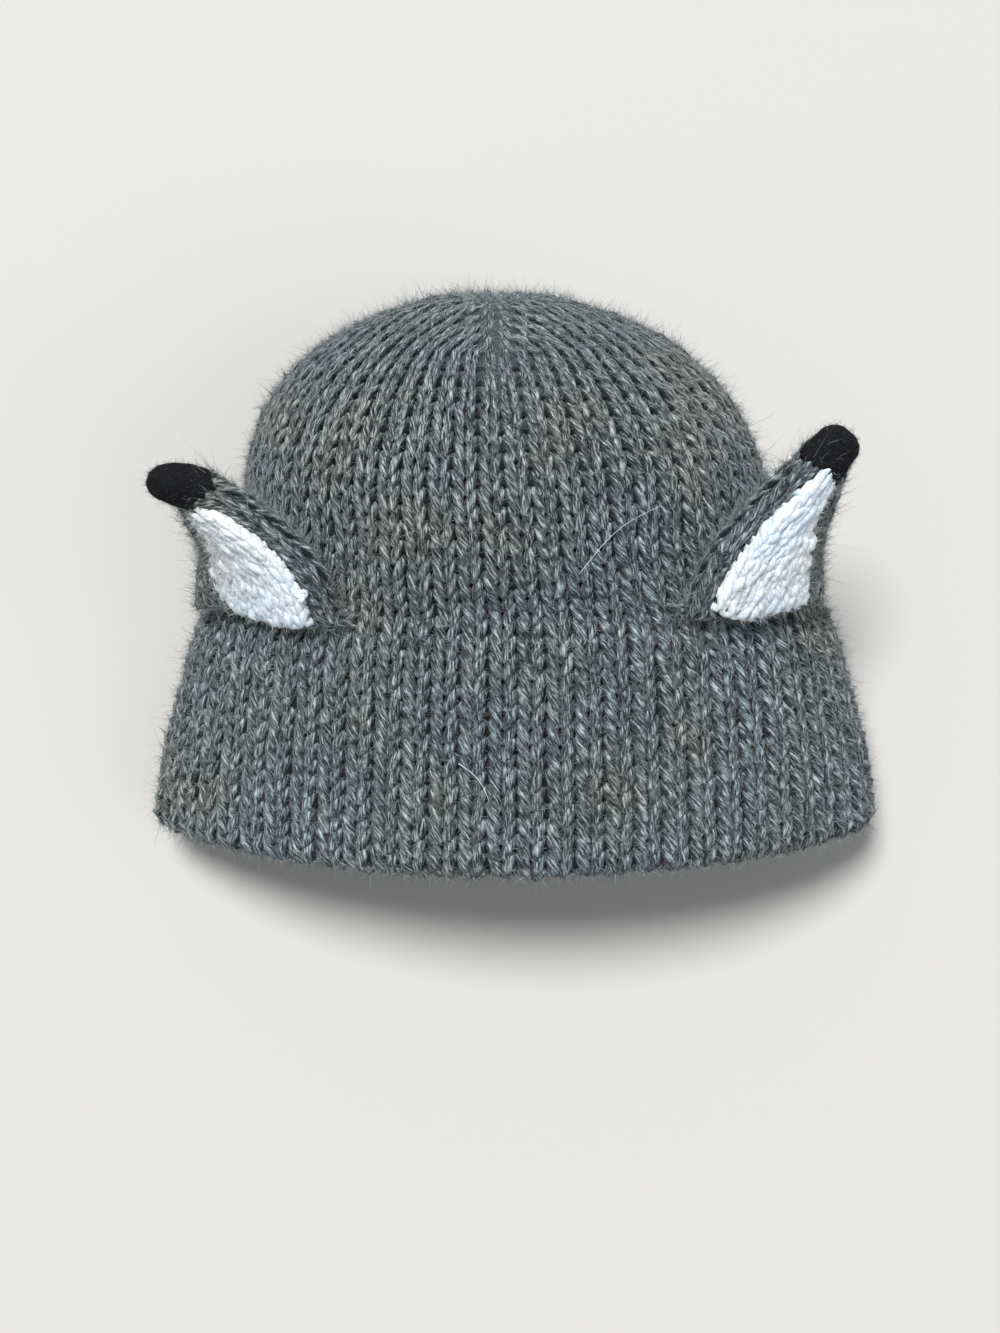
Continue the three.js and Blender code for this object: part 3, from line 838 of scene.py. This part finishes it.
def crownCore():
    # a thin layer in the middle of the crown's cloth, closed at the drawn-up end
    def layer(name, shares):
        return [hatRound(at, core[name] - core["raised"] * smoothStep(at, *core["ribs"])) for at in shares]

    almost = 0.999  # each layer closes in a tiny ring
    outer = layer("outer", np.linspace(0, core["crownOuterEnd"], 44))
    inner = layer("inner", np.linspace(core["crownInnerEnd"], 0, 30))
    outer.append(mix(outer[-1], outer[-1].mean(0)[None], almost))
    inner.insert(0, mix(inner[0], inner[0].mean(0)[None], almost))
    return loft([*outer, *inner], False)


dress(makeMesh("brim_core", brimCore(), greyShadedCore), "grey_knit")
dress(makeMesh("crown_core", crownCore(), greyShadedCore), "grey_knit")
print("cores laid")


# The ears: grey knitted shells, white knitted linings, black felted tips

earForm = {
    "length": 38.0,
    "width": 39.0,
    "thickness": 12.0,
    "liningThickness": 4.0,
    "liningProud": 0.7,    # how far the lining stands out of the shell
    "liningFull": 2.6,     # how full its front is: 2 is an oval, more is flatter
    "scallop": 5.4,        # length of a scallop along the lining's outer edge
    "cornerEnds": 0.35,    # share of the ear over which its outer corner is lowered
    "liftEnds": 0.5,       # and over which the ends of the lining's rows are raised
    "shellPastTip": 0.03,  # how far the shell's knitting runs under the felt
    "coreInset": 2.1,      # depth of the felted mass inside the shell
}

earStyle = {
    **knitting, "wedges": 2, "mirrored": 1, "points": 12, "sides": 6,
    "row": 3.2, "column": 4.7, "yarn": 0.92, "deep": 1.6, "stand": 0.7, "tilt": 0.3, "uneven": 0.06,
}
liningStyle = {
    **knitting, "wedges": 1, "open": True, "mirrored": 1, "points": 14, "sides": 7,
    "row": 2.7, "column": 3.5, "yarn": 0.8, "deep": 0.95, "stand": 0.38, "tilt": 0.22, "uneven": 0.08,
    "endsBefore": 0.6,     # rows between the last one and the tip
}
liningCore = {"starts": 0.03, "fullAt": 0.2, "narrow": 0.6, "thin": 0.8, "behind": 0.9, "inset": 1.2}

# middle lines of the ears outwards from the hat, in ear lengths, with widths and thicknesses;
# inner and outer are the lining's edges in half widths of the ear, lip widens the shell's outer edge;
# lift raises the ends of the lining's lowest rows, beside the crown and outside, and drop lowers the
# outer corner of the shell, in mm; scallops are how far the lining's outer edge waves
ears = {
    "left": {
        "sign": -1,
        "turn": 52,
        "tipStart": 0.765,
        "lift": (5.2, 1.8),
        "scallops": 0.8,
        "drop": 6.5,
        "chord": (0.767, 0.143, -0.626),
        "rows": table("at out along up width thick inner outer lip", [
            (0, 0, 0.035, 0, 1.06, 1, -0.8, 0.45, 0),
            (0.3, 0.04, 0.23, 0.2, 0.86, 0.95, -0.8, 0.55, -0.05),
            (0.58, 0.18, 0.42, 0.36, 0.57, 0.86, -0.72, 0.44, 0.17),
            (0.8, 0.35, 0.55, 0.46, 0.34, 0.76, -0.4, 0.45, 0.2),
            (1, 0.58, 0.595, 0.55, 0.26, 0.66, -0.4, 0.5, 0),
        ]),
    },
    "right": {
        "sign": 1,
        "turn": 49.6,
        "tipStart": 0.84,
        "lift": (6.5, -1.8),
        "scallops": 1.2,
        "drop": 2.5,
        "chord": (0.797, 0.07, -0.597),
        "rows": table("at out along up width thick inner outer lip", [
            (0, 0, 0.035, 0, 1, 1, -0.9, 0.48, -0.04),
            (0.28, 0.03, 0.23, 0.13, 0.85, 0.97, -0.8, 0.5, -0.05),
            (0.55, 0.11, 0.43, 0.24, 0.6, 0.9, -0.7, 0.46, 0.15),
            (0.8, 0.27, 0.67, 0.36, 0.34, 0.82, -0.65, 0.35, 0.28),
            (1, 0.46, 0.865, 0.44, 0.25, 0.7, -0.65, 0.4, 0),
        ]),
    },
}

# the felted tip outwards, in shares of its length and its swell
tipSections = table("at swell", [(0, 0.91), (0.1, 1), (0.4, 1), (0.7, 0.93), (0.9, 0.71), (1, 0.36)])
tipForm = {
    "overlap": 0.02,                     # how far it reaches back over the shell
    "lumps": ((0.16, 1.6), (0.1, 0.7)),  # height and size of its unevenness in mm
}


def earStation(ear, share):
    # middle of the ear, with the directions across it and out of its front
    rows, sign = ear["rows"], ear["sign"]
    turn = np.array([math.radians(ear["turn"] * sign)])
    sewn = wallPoint(np.zeros(1), turn, np.zeros(1))[0]
    middle = np.array([0, creaseRing["sideY"][0], creaseRing["sideZ"][0]])
    inward = unit(middle - sewn)

    def at(s):
        way = np.stack([follow(rows, "out", s) * sign, follow(rows, "along", s), follow(rows, "up", s)], -1)
        return sewn + way * earForm["length"]

    held = np.clip(share, 0, 1)
    step = 0.02
    heading = unit(at(np.minimum(held + step, 1)) - at(np.maximum(held - step, 0)))
    out, along, up = ear["chord"]
    chord = unit(np.array([out * sign, along, up]))
    across = unit(chord - (heading @ chord)[..., None] * heading)
    front = unit(np.cross(heading, across))
    front = front * np.where(front[..., 1:2] > 0, -1, 1)
    point = at(held) + inward * (np.maximum(-share, 0) * earForm["length"])[..., None]
    return point, across, front


def earSize(ear, share):
    # half its width and thickness there, and where its lining's edges are
    held = np.clip(share, 0, 1)
    halfWidth = follow(ear["rows"], "width", held) * earForm["width"] / 2
    halfThick = follow(ear["rows"], "thick", held) * earForm["thickness"] / 2
    inner = follow(ear["rows"], "inner", held) * halfWidth
    outer = follow(ear["rows"], "outer", held) * halfWidth
    return halfWidth, halfThick, inner, outer


def evenOval(halfWidth, halfThick, share):
    # the angle at an even share of the way over an oval's front, worked out for some points at a time
    angles = np.linspace(0, math.pi, 91)
    ratio = halfThick / halfWidth
    found = []
    for part in np.array_split(np.arange(len(share)), max(len(share) // 400, 1)):
        x = np.repeat(-np.cos(angles)[None], len(part), 0)
        y = np.sin(angles)[None] * ratio[part, None]
        run = np.cumsum(np.hypot(np.diff(x), np.diff(y)), axis=1)
        run = np.concatenate([np.zeros((len(part), 1)), run], 1)
        run /= run[:, -1:]
        index = np.clip((run < share[part, None]).sum(1), 1, len(angles) - 1)
        low, high = run[np.arange(len(part)), index - 1], run[np.arange(len(part)), index]
        found.append(angles[index - 1] + (share[part] - low) / (high - low) * (angles[1] - angles[0]))
    return np.concatenate(found)


def earCloth(ear):
    def cloth(along, wedge, share, deep):
        shareAlong = along / earForm["length"]
        point, across, front = earStation(ear, shareAlong)
        halfWidth, halfThick, inner, outer = earSize(ear, shareAlong)
        way = (wedge + share) % 2  # 0 to 1 over the front, 1 to 2 over the back
        angle = evenOval(halfWidth, halfThick, np.where(way < 1, way, 2 - way))
        lip = follow(ear["rows"], "lip", np.clip(shareAlong, 0, 1)) * np.maximum(-np.cos(angle), 0)
        side = -np.cos(angle) * (halfWidth * (1 + lip) - deep)
        nearHat = np.clip(1 - shareAlong / earForm["cornerEnds"], 0, 1)
        outerCorner = np.maximum(-np.cos(angle), 0) ** 2 * nearHat
        point = point - np.outer(ear["drop"] * outerCorner, (0, 1, 0))
        rise = np.sin(angle) * (halfThick - deep) * np.where(way < 1, 1, -1)
        return point + across * side[:, None] + front * rise[:, None]
    return cloth


def liningCloth(ear):
    def cloth(along, wedge, share, deep):
        # from the edge beside the crown to the outer edge
        w = np.clip(2 * share - 1, -1, 1)
        # the rows curve up towards their ends, less so near the tip
        lift = np.where(w < 0, ear["lift"][0] * np.abs(w) ** 1.3, ear["lift"][1] * np.abs(w) ** 2.5)
        shareAlong = along / earForm["length"]
        nearHat = np.clip(1 - shareAlong / earForm["liftEnds"], 0, 1)
        shareAlong = shareAlong + lift / earForm["length"] * nearHat
        point, across, front = earStation(ear, shareAlong)
        halfWidth, halfThick, inner, outer = earSize(ear, shareAlong)
        full = earForm["liningFull"]
        rise = (1 - np.abs(w) ** full) ** (1 / full)
        thick = earForm["liningThickness"] / 2
        forward = halfThick - thick + earForm["liningProud"]
        side = (inner + outer) / 2 + w * ((outer - inner) / 2 - deep * 0.6)
        wave = np.abs(np.sin(math.pi * along / earForm["scallop"])) - 0.6
        side = side + ear["scallops"] * np.clip(w, 0, 1) ** 3 * wave
        return point + across * side[:, None] + front * (forward + thick * rise - deep)[:, None]
    return cloth


def countOnEar(style, halfWay):
    # whole stitches on each row, from the way across it
    rows = np.arange(-3, 20)
    counts = np.maximum(np.round(halfWay(rows * style["row"] / earForm["length"]) / style["column"]), 2)
    return lambda row: np.interp(row, rows, counts)


def oval(ear, share, inset, swell=1.0, around=40):
    # a round of points inside the ear's surface
    point, across, front = earStation(ear, np.array([share]))
    halfWidth, halfThick, inner, outer = earSize(ear, np.array([share]))
    angle = 2 * math.pi * np.arange(around) / around
    side = np.cos(angle)[:, None] * (halfWidth * swell - inset)
    rise = np.sin(angle)[:, None] * (halfThick * swell - inset)
    return point + side * across + rise * front


def waves(points, size, count=14):
    # smooth unevenness over a body, between about -1 and 1
    turns = rng.normal(0, 1 / size, (count, 3))
    return np.sin(points @ turns.T + rng.uniform(0, 6.3, count)).sum(1) / math.sqrt(count)


def makeEar(name, ear):
    def halfRound(share):
        halfWidth, halfThick, inner, outer = earSize(ear, share)
        return math.pi * np.sqrt(((halfWidth - 1) ** 2 + (halfThick - 1) ** 2) / 2)

    counts = countOnEar(earStyle, halfRound)
    lastRow = int(earForm["length"] * (ear["tipStart"] + earForm["shellPastTip"]) / earStyle["row"])
    shell = knitRounds(earCloth(ear), range(-1, lastRow + 1), counts, earStyle)
    dress(makeMesh(f"ear_{name}_knit", shell, greyYarn), "grey_knit", f"ear_shell_{name}")

    rounds = [oval(ear, share, earForm["coreInset"]) for share in np.linspace(-0.1, ear["tipStart"], 16)]
    dress(makeMesh(f"ear_{name}_core", loft(rounds, True), greyShadedCore), "grey_knit")

    def liningWidth(share):
        halfWidth, halfThick, inner, outer = earSize(ear, share)
        return outer - inner

    counts = countOnEar(liningStyle, liningWidth)
    lastRow = int(earForm["length"] * ear["tipStart"] / liningStyle["row"] - liningStyle["endsBefore"])
    lining = knitRounds(liningCloth(ear), range(0, lastRow + 1), counts, liningStyle)
    dress(makeMesh(f"ear_{name}_lining_knit", lining, whiteYarn), "white_knit", f"ear_lining_{name}")

    rounds = []
    c = liningCore
    for share in np.linspace(c["starts"], ear["tipStart"], 16):
        point, across, front = earStation(ear, np.array([share]))
        halfWidth, halfThick, inner, outer = earSize(ear, np.array([share]))
        angle = 2 * math.pi * np.arange(32) / 32
        thick = earForm["liningThickness"] / 2 - c["thin"]
        forward = halfThick - earForm["liningThickness"] / 2 + earForm["liningProud"] - c["behind"]
        widening = c["narrow"] + (1 - c["narrow"]) * smoothStep(share, c["starts"], c["fullAt"])
        half = ((outer - inner) / 2 - c["inset"]) * widening
        side = (inner + outer) / 2 + np.cos(angle)[:, None] * half
        rounds.append(point + side * across + (np.sin(angle) * thick + forward)[:, None] * front)
    dress(makeMesh(f"ear_{name}_lining_core", loft(rounds, True), whiteShadedCore), "white_knit")

    rounds = []
    for at in np.linspace(0, 1, 26) ** 0.9:
        swell = follow(tipSections, "swell", at)
        rounds.append(oval(ear, mix(ear["tipStart"] - tipForm["overlap"], 1, at), 0, swell, 56))
    tip = loft(rounds, True)
    middle = tip["points"].mean(0)
    lumps = sum(height * waves(tip["points"], size) for height, size in tipForm["lumps"])
    tip["points"] = tip["points"] + unit(tip["points"] - middle) * lumps[:, None]
    dress(makeMesh(f"ear_{name}_tip_felt", tip, blackFelt), "black_felt", f"ear_tip_{name}")
    return shell, lining, tip


earBodies = {name: makeEar(name, ear) for name, ear in ears.items()}
print("ears knitted:", [len(body[0]["quads"]) for body in earBodies.values()], "faces")


# Fuzz: loose fibres standing out of the yarn

fuzz = {
    "hat": 42000,          # short fibres on the crown and as many on the brim
    "hatLong": 1400,       # longer bent ones
    "inside": 2500,
    "ear": 5000,
    "earBrushed": 4000,    # long fibres brushed towards the tip
    "lining": 3200,
    "tip": 1500,
    "edge": 3.4,           # how many more there are where the wool faces sideways
    "edgeLonger": 0.35,    # and how much longer they are there
    "length": 1.15,        # usual length
    "longest": 4.6,
    "whiteReach": 0.6,     # how long the linings' are against the grey wool's
    "thick": 0.044,        # radius at the root
    "lowest": 0.05,        # none comes nearer to the floor
}
# how roots lie: outward is how far the yarn must stand out to carry them, sunk their depth in its radius,
# along how far they are moved along it in mm
roots = {"outward": 0.8, "sunk": 0.88, "along": 0.4}
# where a bent fibre's middle lies, how far its middle and its tip swing out, and its radius there
bent = {"middle": 0.55, "middleOut": 0.1, "tipOut": 0.38, "taper": 0.75}
# rise is how steeply fibres stand out of the yarn, lay how far they follow it, stray how unevenly;
# least, usual and longest are lengths in mm, bow is how strongly they bend, toYarn how far back to it
shortHair = {"rise": (0.3, 1.3), "lay": 0.5, "stray": 0.4, "least": 0.5, "thick": (0.7, 1.2)}
longHair = {"rise": (0.05, 0.45), "lay": (0.4, 1.0), "stray": 0.3, "bow": 0.8, "toYarn": 0.4,
            "thick": (0.6, 1.1)}
looseHair = {"usual": 2.2, "longest": 7.0}
brushedHair = {"usual": 1.9, "longest": 6.5}
tipHair = {"rise": 0.6, "stray": 0.6, "least": 0.4, "usual": 0.6, "thick": 0.03, "rooted": 0.1}


def hairs(root, way, length, thick, bow=None):
    # closed three-sided fibres from their roots, straight or bent once by bow
    count = len(root)
    side = unit(np.cross(way, rng.normal(0, 1, (count, 3))))
    up = np.cross(side, way)
    angle = 2 * math.pi * np.arange(3) / 3
    ring = np.cos(angle)[None, :, None] * side[:, None] + np.sin(angle)[None, :, None] * up[:, None]
    tip = root + way * length[:, None]
    rings = [root[:, None] + ring * thick[:, None, None]]
    if bow is not None:
        middle = root + (way * bent["middle"] + bow * bent["middleOut"]) * length[:, None]
        tip = tip + bow * (bent["tipOut"] * length)[:, None]
        rings.append(middle[:, None] + ring * (thick * bent["taper"])[:, None, None])
    points = np.concatenate([*rings, tip[:, None]], 1).reshape(-1, 3)
    points[:, 2] = np.maximum(points[:, 2], fuzz["lowest"])
    each = 3 * len(rings) + 1
    start = each * np.arange(count)[:, None]
    body = {"points": points}
    shade = rng.uniform(0, 900, count)
    uv = []
    if bow is not None:
        sides = [start + np.array([q, (q + 1) % 3, 3 + (q + 1) % 3, 3 + q]) for q in range(3)]
        body["quads"] = np.concatenate(sides)
        uv.append(np.repeat(np.tile(shade, 3), 4))
    last = each - 4
    ends = [start + np.array([last + q, last + (q + 1) % 3, last + 3]) for q in range(3)]
    body["triangles"] = np.concatenate([start + np.array([2, 1, 0]), *ends])
    uv.append(np.repeat(np.tile(shade, 4), 3))
    uv = np.concatenate(uv)
    body["uv"] = np.stack([uv, 0 * uv], -1)
    return body


def sideways(body):
    # 1 where the wool faces sideways, 0 where it faces up or down
    return 1 - np.abs(body["out"][:, 2])


def rootsOn(body, count, spread=0.8):
    # roots on the outer half of the yarn, more of them where it stands out
    weight = np.clip(body["stand"] + roots["outward"], 0, None) * (1 + fuzz["edge"] * sideways(body) ** 2)
    index = rng.choice(len(weight), count, p=weight / weight.sum())
    angle = rng.normal(0, spread, count)
    radial = np.cos(angle)[:, None] * body["up"][index] + np.sin(angle)[:, None] * body["side"][index]
    root = body["centre"][index] + radial * (body["radius"][index] * roots["sunk"])[:, None]
    root = root + body["heading"][index] * rng.uniform(-roots["along"], roots["along"], (count, 1))
    return index, root, radial


def shortFuzz(name, body, count, finish, slot, reach=1.0):
    h = shortHair
    index, root, radial = rootsOn(body, count)
    lay = body["heading"][index] * rng.choice([-1, 1], (count, 1))
    rise = rng.uniform(*h["rise"], (count, 1))
    way = unit(radial * rise + lay * h["lay"] + rng.normal(0, h["stray"], (count, 3)))
    length = np.minimum(h["least"] + rng.exponential(fuzz["length"], count), fuzz["longest"]) * reach
    length = length * (1 + fuzz["edgeLonger"] * sideways(body)[index] ** 2)
    thick = fuzz["thick"] * rng.uniform(*h["thick"], count)
    return dress(makeMesh(name, hairs(root, way, length, thick), finish), slot)


def longFuzz(name, body, count, finish, slot, lay, lengths):
    # longer bent fibres that lie along a direction
    h, usual = longHair, lengths["usual"]
    index, root, radial = rootsOn(body, count, 1.0)
    rise = rng.uniform(*h["rise"], (count, 1))
    laid = lay * rng.uniform(*h["lay"], (count, 1))
    way = unit(radial * rise + laid + rng.normal(0, h["stray"], (count, 3)))
    length = np.minimum(usual * 0.5 + rng.exponential(usual, count), lengths["longest"])
    bow = rng.normal(0, h["bow"], (count, 3)) - radial * h["toYarn"]
    thick = fuzz["thick"] * rng.uniform(*h["thick"], count)
    return dress(makeMesh(name, hairs(root, way, length, thick, bow), finish), slot)


def tipFuzz(name, tip, count):
    h = tipHair
    points = tip["points"][:-2]
    index = rng.choice(len(points), count)
    away = unit(points[index] - tip["points"].mean(0))
    way = unit(away * h["rise"] + rng.normal(0, h["stray"], (count, 3)))
    length = h["least"] + rng.exponential(h["usual"], count)
    body = hairs(points[index] - away * h["rooted"], way, length, np.full(count, h["thick"]))
    return dress(makeMesh(name, body, blackHair), "black_felt")


anyWay = np.zeros(3)
shortFuzz("crown_fuzz", crownBody, fuzz["hat"], greyHair, "grey_knit")
shortFuzz("brim_fuzz", brimBody, fuzz["hat"], greyHair, "grey_knit")
shortFuzz("brim_inside_fuzz", insideBody, fuzz["inside"], greyHair, "grey_knit")
longFuzz("crown_long_fuzz", crownBody, fuzz["hatLong"], greyHair, "grey_knit", anyWay, looseHair)
longFuzz("brim_long_fuzz", brimBody, fuzz["hatLong"], greyHair, "grey_knit", anyWay, looseHair)
for name, (shell, lining, tip) in earBodies.items():
    toTip = unit(tip["points"].mean(0) - shell["points"].mean(0))
    shortFuzz(f"ear_{name}_fuzz", shell, fuzz["ear"], greyHair, "grey_knit")
    longFuzz(f"ear_{name}_brushed", shell, fuzz["earBrushed"], greyHair, "grey_knit", toTip, brushedHair)
    shortFuzz(f"ear_{name}_lining_fuzz", lining, fuzz["lining"], whiteHair, "white_knit", fuzz["whiteReach"])
    tipFuzz(f"ear_{name}_tip_fuzz", tip, fuzz["tip"])


def knot(centre, size, radius, count=60, sides=8):
    # a small knot in the sewing yarn
    t = 2 * math.pi * np.arange(count) / count
    line = np.stack([np.sin(t) + 2 * np.sin(2 * t), np.cos(t) - 2 * np.cos(2 * t), -np.sin(3 * t)], -1)
    return yarnTube(centre + line * size / 3, unit(line + 0.01), np.full(count, radius), sides, True)


# where the white yarn is knotted: mm along the left ear, share across its lining, mm above it
sewing = {"along": 5.0, "across": 0.0, "above": 0.4, "size": 1.15, "yarn": 0.48}
at = [np.array([value]) for value in (sewing["along"], 0.0, sewing["across"], -sewing["above"])]
knotPlace = liningCloth(ears["left"])(*at)[0]
knotBody = knot(knotPlace, sewing["size"], sewing["yarn"])
dress(makeMesh("ear_left_lining_knot", knotBody, whiteYarn), "white_knit")

# long pale hairs caught on the wool: place and degrees at both ends, their bow aside and radius in mm
strayHairs = [
    {"places": (-0.53, -0.67), "turns": (-8.8, -4.0), "bow": -1.4, "thick": 0.09},
    {"places": (0.105, 0.26), "turns": (12.5, 33.0), "bow": -2.2, "thick": 0.055},
]
strayForm = {"above": 0.5, "arch": 0.9, "thinner": 0.45, "points": 16}


def strayHair(hair):
    f = strayForm
    t = np.linspace(0, 1, f["points"])
    arch = np.sin(math.pi * t)
    up = np.array([0.0, 0.0, 1.0])
    places, turns = mix(*hair["places"], t), np.radians(mix(*hair["turns"], t))
    line = wallPoint(places, turns, -f["above"] - f["arch"] * arch)
    aside = unit(np.cross(line[-1] - line[0], up))
    line = line + aside * (hair["bow"] * arch)[:, None]
    strand = yarnTube(line, np.tile(up, (len(t), 1)), hair["thick"] * (1 - f["thinner"] * t), 4, False)
    strand["stand"] = np.ones(len(t))
    return strand


dress(makeMesh("stray_hairs", join([strayHair(hair) for hair in strayHairs]), whiteHair), "white_knit")
print("fuzz grown")


# Camera, floor and light

# distances in mm; focal is the focal length in pixels of a picture whose longer side is frame
view = {
    "distance": 480.0,
    "elevation": 85.0,
    "target": (-3.37, -14.25, 0.0),
    "focal": 2074.0,
    "frame": 1333.0,
}
# half of the floor's side is in metres
floorForm = {"half": 30.0, "below": 0.2, "colour": (0.58, 0.57, 0.55, 1), "roughness": 0.7}
studio = {"sky": (0.93, 0.96, 1.0, 1), "strength": 0.24, "wall": (0.72, 0.72, 0.7, 1)}
# where each light comes from, how wide it looks in degrees, and how strong it is
lamps = {
    "window": {"from": (-0.22, 0.42, 1.1), "spread": 20, "strength": 3.5, "colour": (1, 1, 1)},
    "fill": {"from": (0.7, -0.3, 0.9), "spread": 45, "strength": 0.6, "colour": (0.95, 0.97, 1.0)},
}


def makeCamera():
    lens = bpy.data.cameras.new("camera")
    camera = bpy.data.objects.new("camera", lens)
    bpy.context.scene.collection.objects.link(camera)
    lens.sensor_width = 36.0
    lens.lens = view["focal"] * lens.sensor_width / view["frame"]
    lens.clip_start, lens.clip_end = 0.01, 10.0
    tilt = math.radians(view["elevation"])
    back = Vector((0, -math.cos(tilt), math.sin(tilt)))
    camera.location = (Vector(view["target"]) + back * view["distance"]) * mm
    camera.rotation_euler = (-back).to_track_quat("-Z", "Y").to_euler()
    bpy.context.scene.camera = camera


def makeFloor():
    # a square in metres, a little below what the wool rests on
    half = floorForm["half"]
    mesh = bpy.data.meshes.new("floor")
    corners = [(-half, -half, 0), (half, -half, 0), (half, half, 0), (-half, half, 0)]
    mesh.from_pydata(corners, [], [(0, 1, 2, 3)])
    floor = bpy.data.objects.new("floor", mesh)
    bpy.context.scene.collection.objects.link(floor)
    material, tree, shader = newMaterial("pale floor")
    shader.inputs["Base Color"].default_value = floorForm["colour"]
    shader.inputs["Roughness"].default_value = floorForm["roughness"]
    mesh.materials.append(material)
    floor.location.z = -floorForm["below"] * mm


def makeLight(name, lamp):
    # even light from one side
    light = bpy.data.lights.new(name, "SUN")
    light.angle = math.radians(lamp["spread"])
    light.energy = lamp["strength"]
    light.color = lamp["colour"]
    holder = bpy.data.objects.new(name, light)
    holder.location = lamp["from"]
    holder.rotation_euler = (-Vector(lamp["from"])).to_track_quat("-Z", "Y").to_euler()
    bpy.context.scene.collection.objects.link(holder)


def makeWorld():
    world = bpy.data.worlds.new("studio")
    bpy.context.scene.world = world
    world.use_nodes = True
    tree = world.node_tree
    sky = next(node for node in tree.nodes if node.type == "BACKGROUND")
    sky.inputs["Color"].default_value = studio["sky"]
    sky.inputs["Strength"].default_value = studio["strength"]
    # behind the floor's far edge a pale wall is seen
    wall = tree.nodes.new("ShaderNodeBackground")
    wall.inputs["Color"].default_value = studio["wall"]
    seen = tree.nodes.new("ShaderNodeLightPath")
    both = tree.nodes.new("ShaderNodeMixShader")
    end = next(node for node in tree.nodes if node.type == "OUTPUT_WORLD")
    tree.links.new(seen.outputs["Is Camera Ray"], both.inputs[0])
    tree.links.new(sky.outputs[0], both.inputs[1])
    tree.links.new(wall.outputs[0], both.inputs[2])
    tree.links.new(both.outputs[0], end.inputs["Surface"])


makeCamera()
makeFloor()
makeWorld()
for name, lamp in lamps.items():
    makeLight(name, lamp)
bpy.context.scene.view_settings.view_transform = "Standard"
print("camera, floor and lights set")

faces = sum(sum(len(face.vertices) - 2 for face in obj.data.polygons)
            for obj in bpy.context.scene.objects if obj.type == "MESH")
print("triangles in all:", faces)
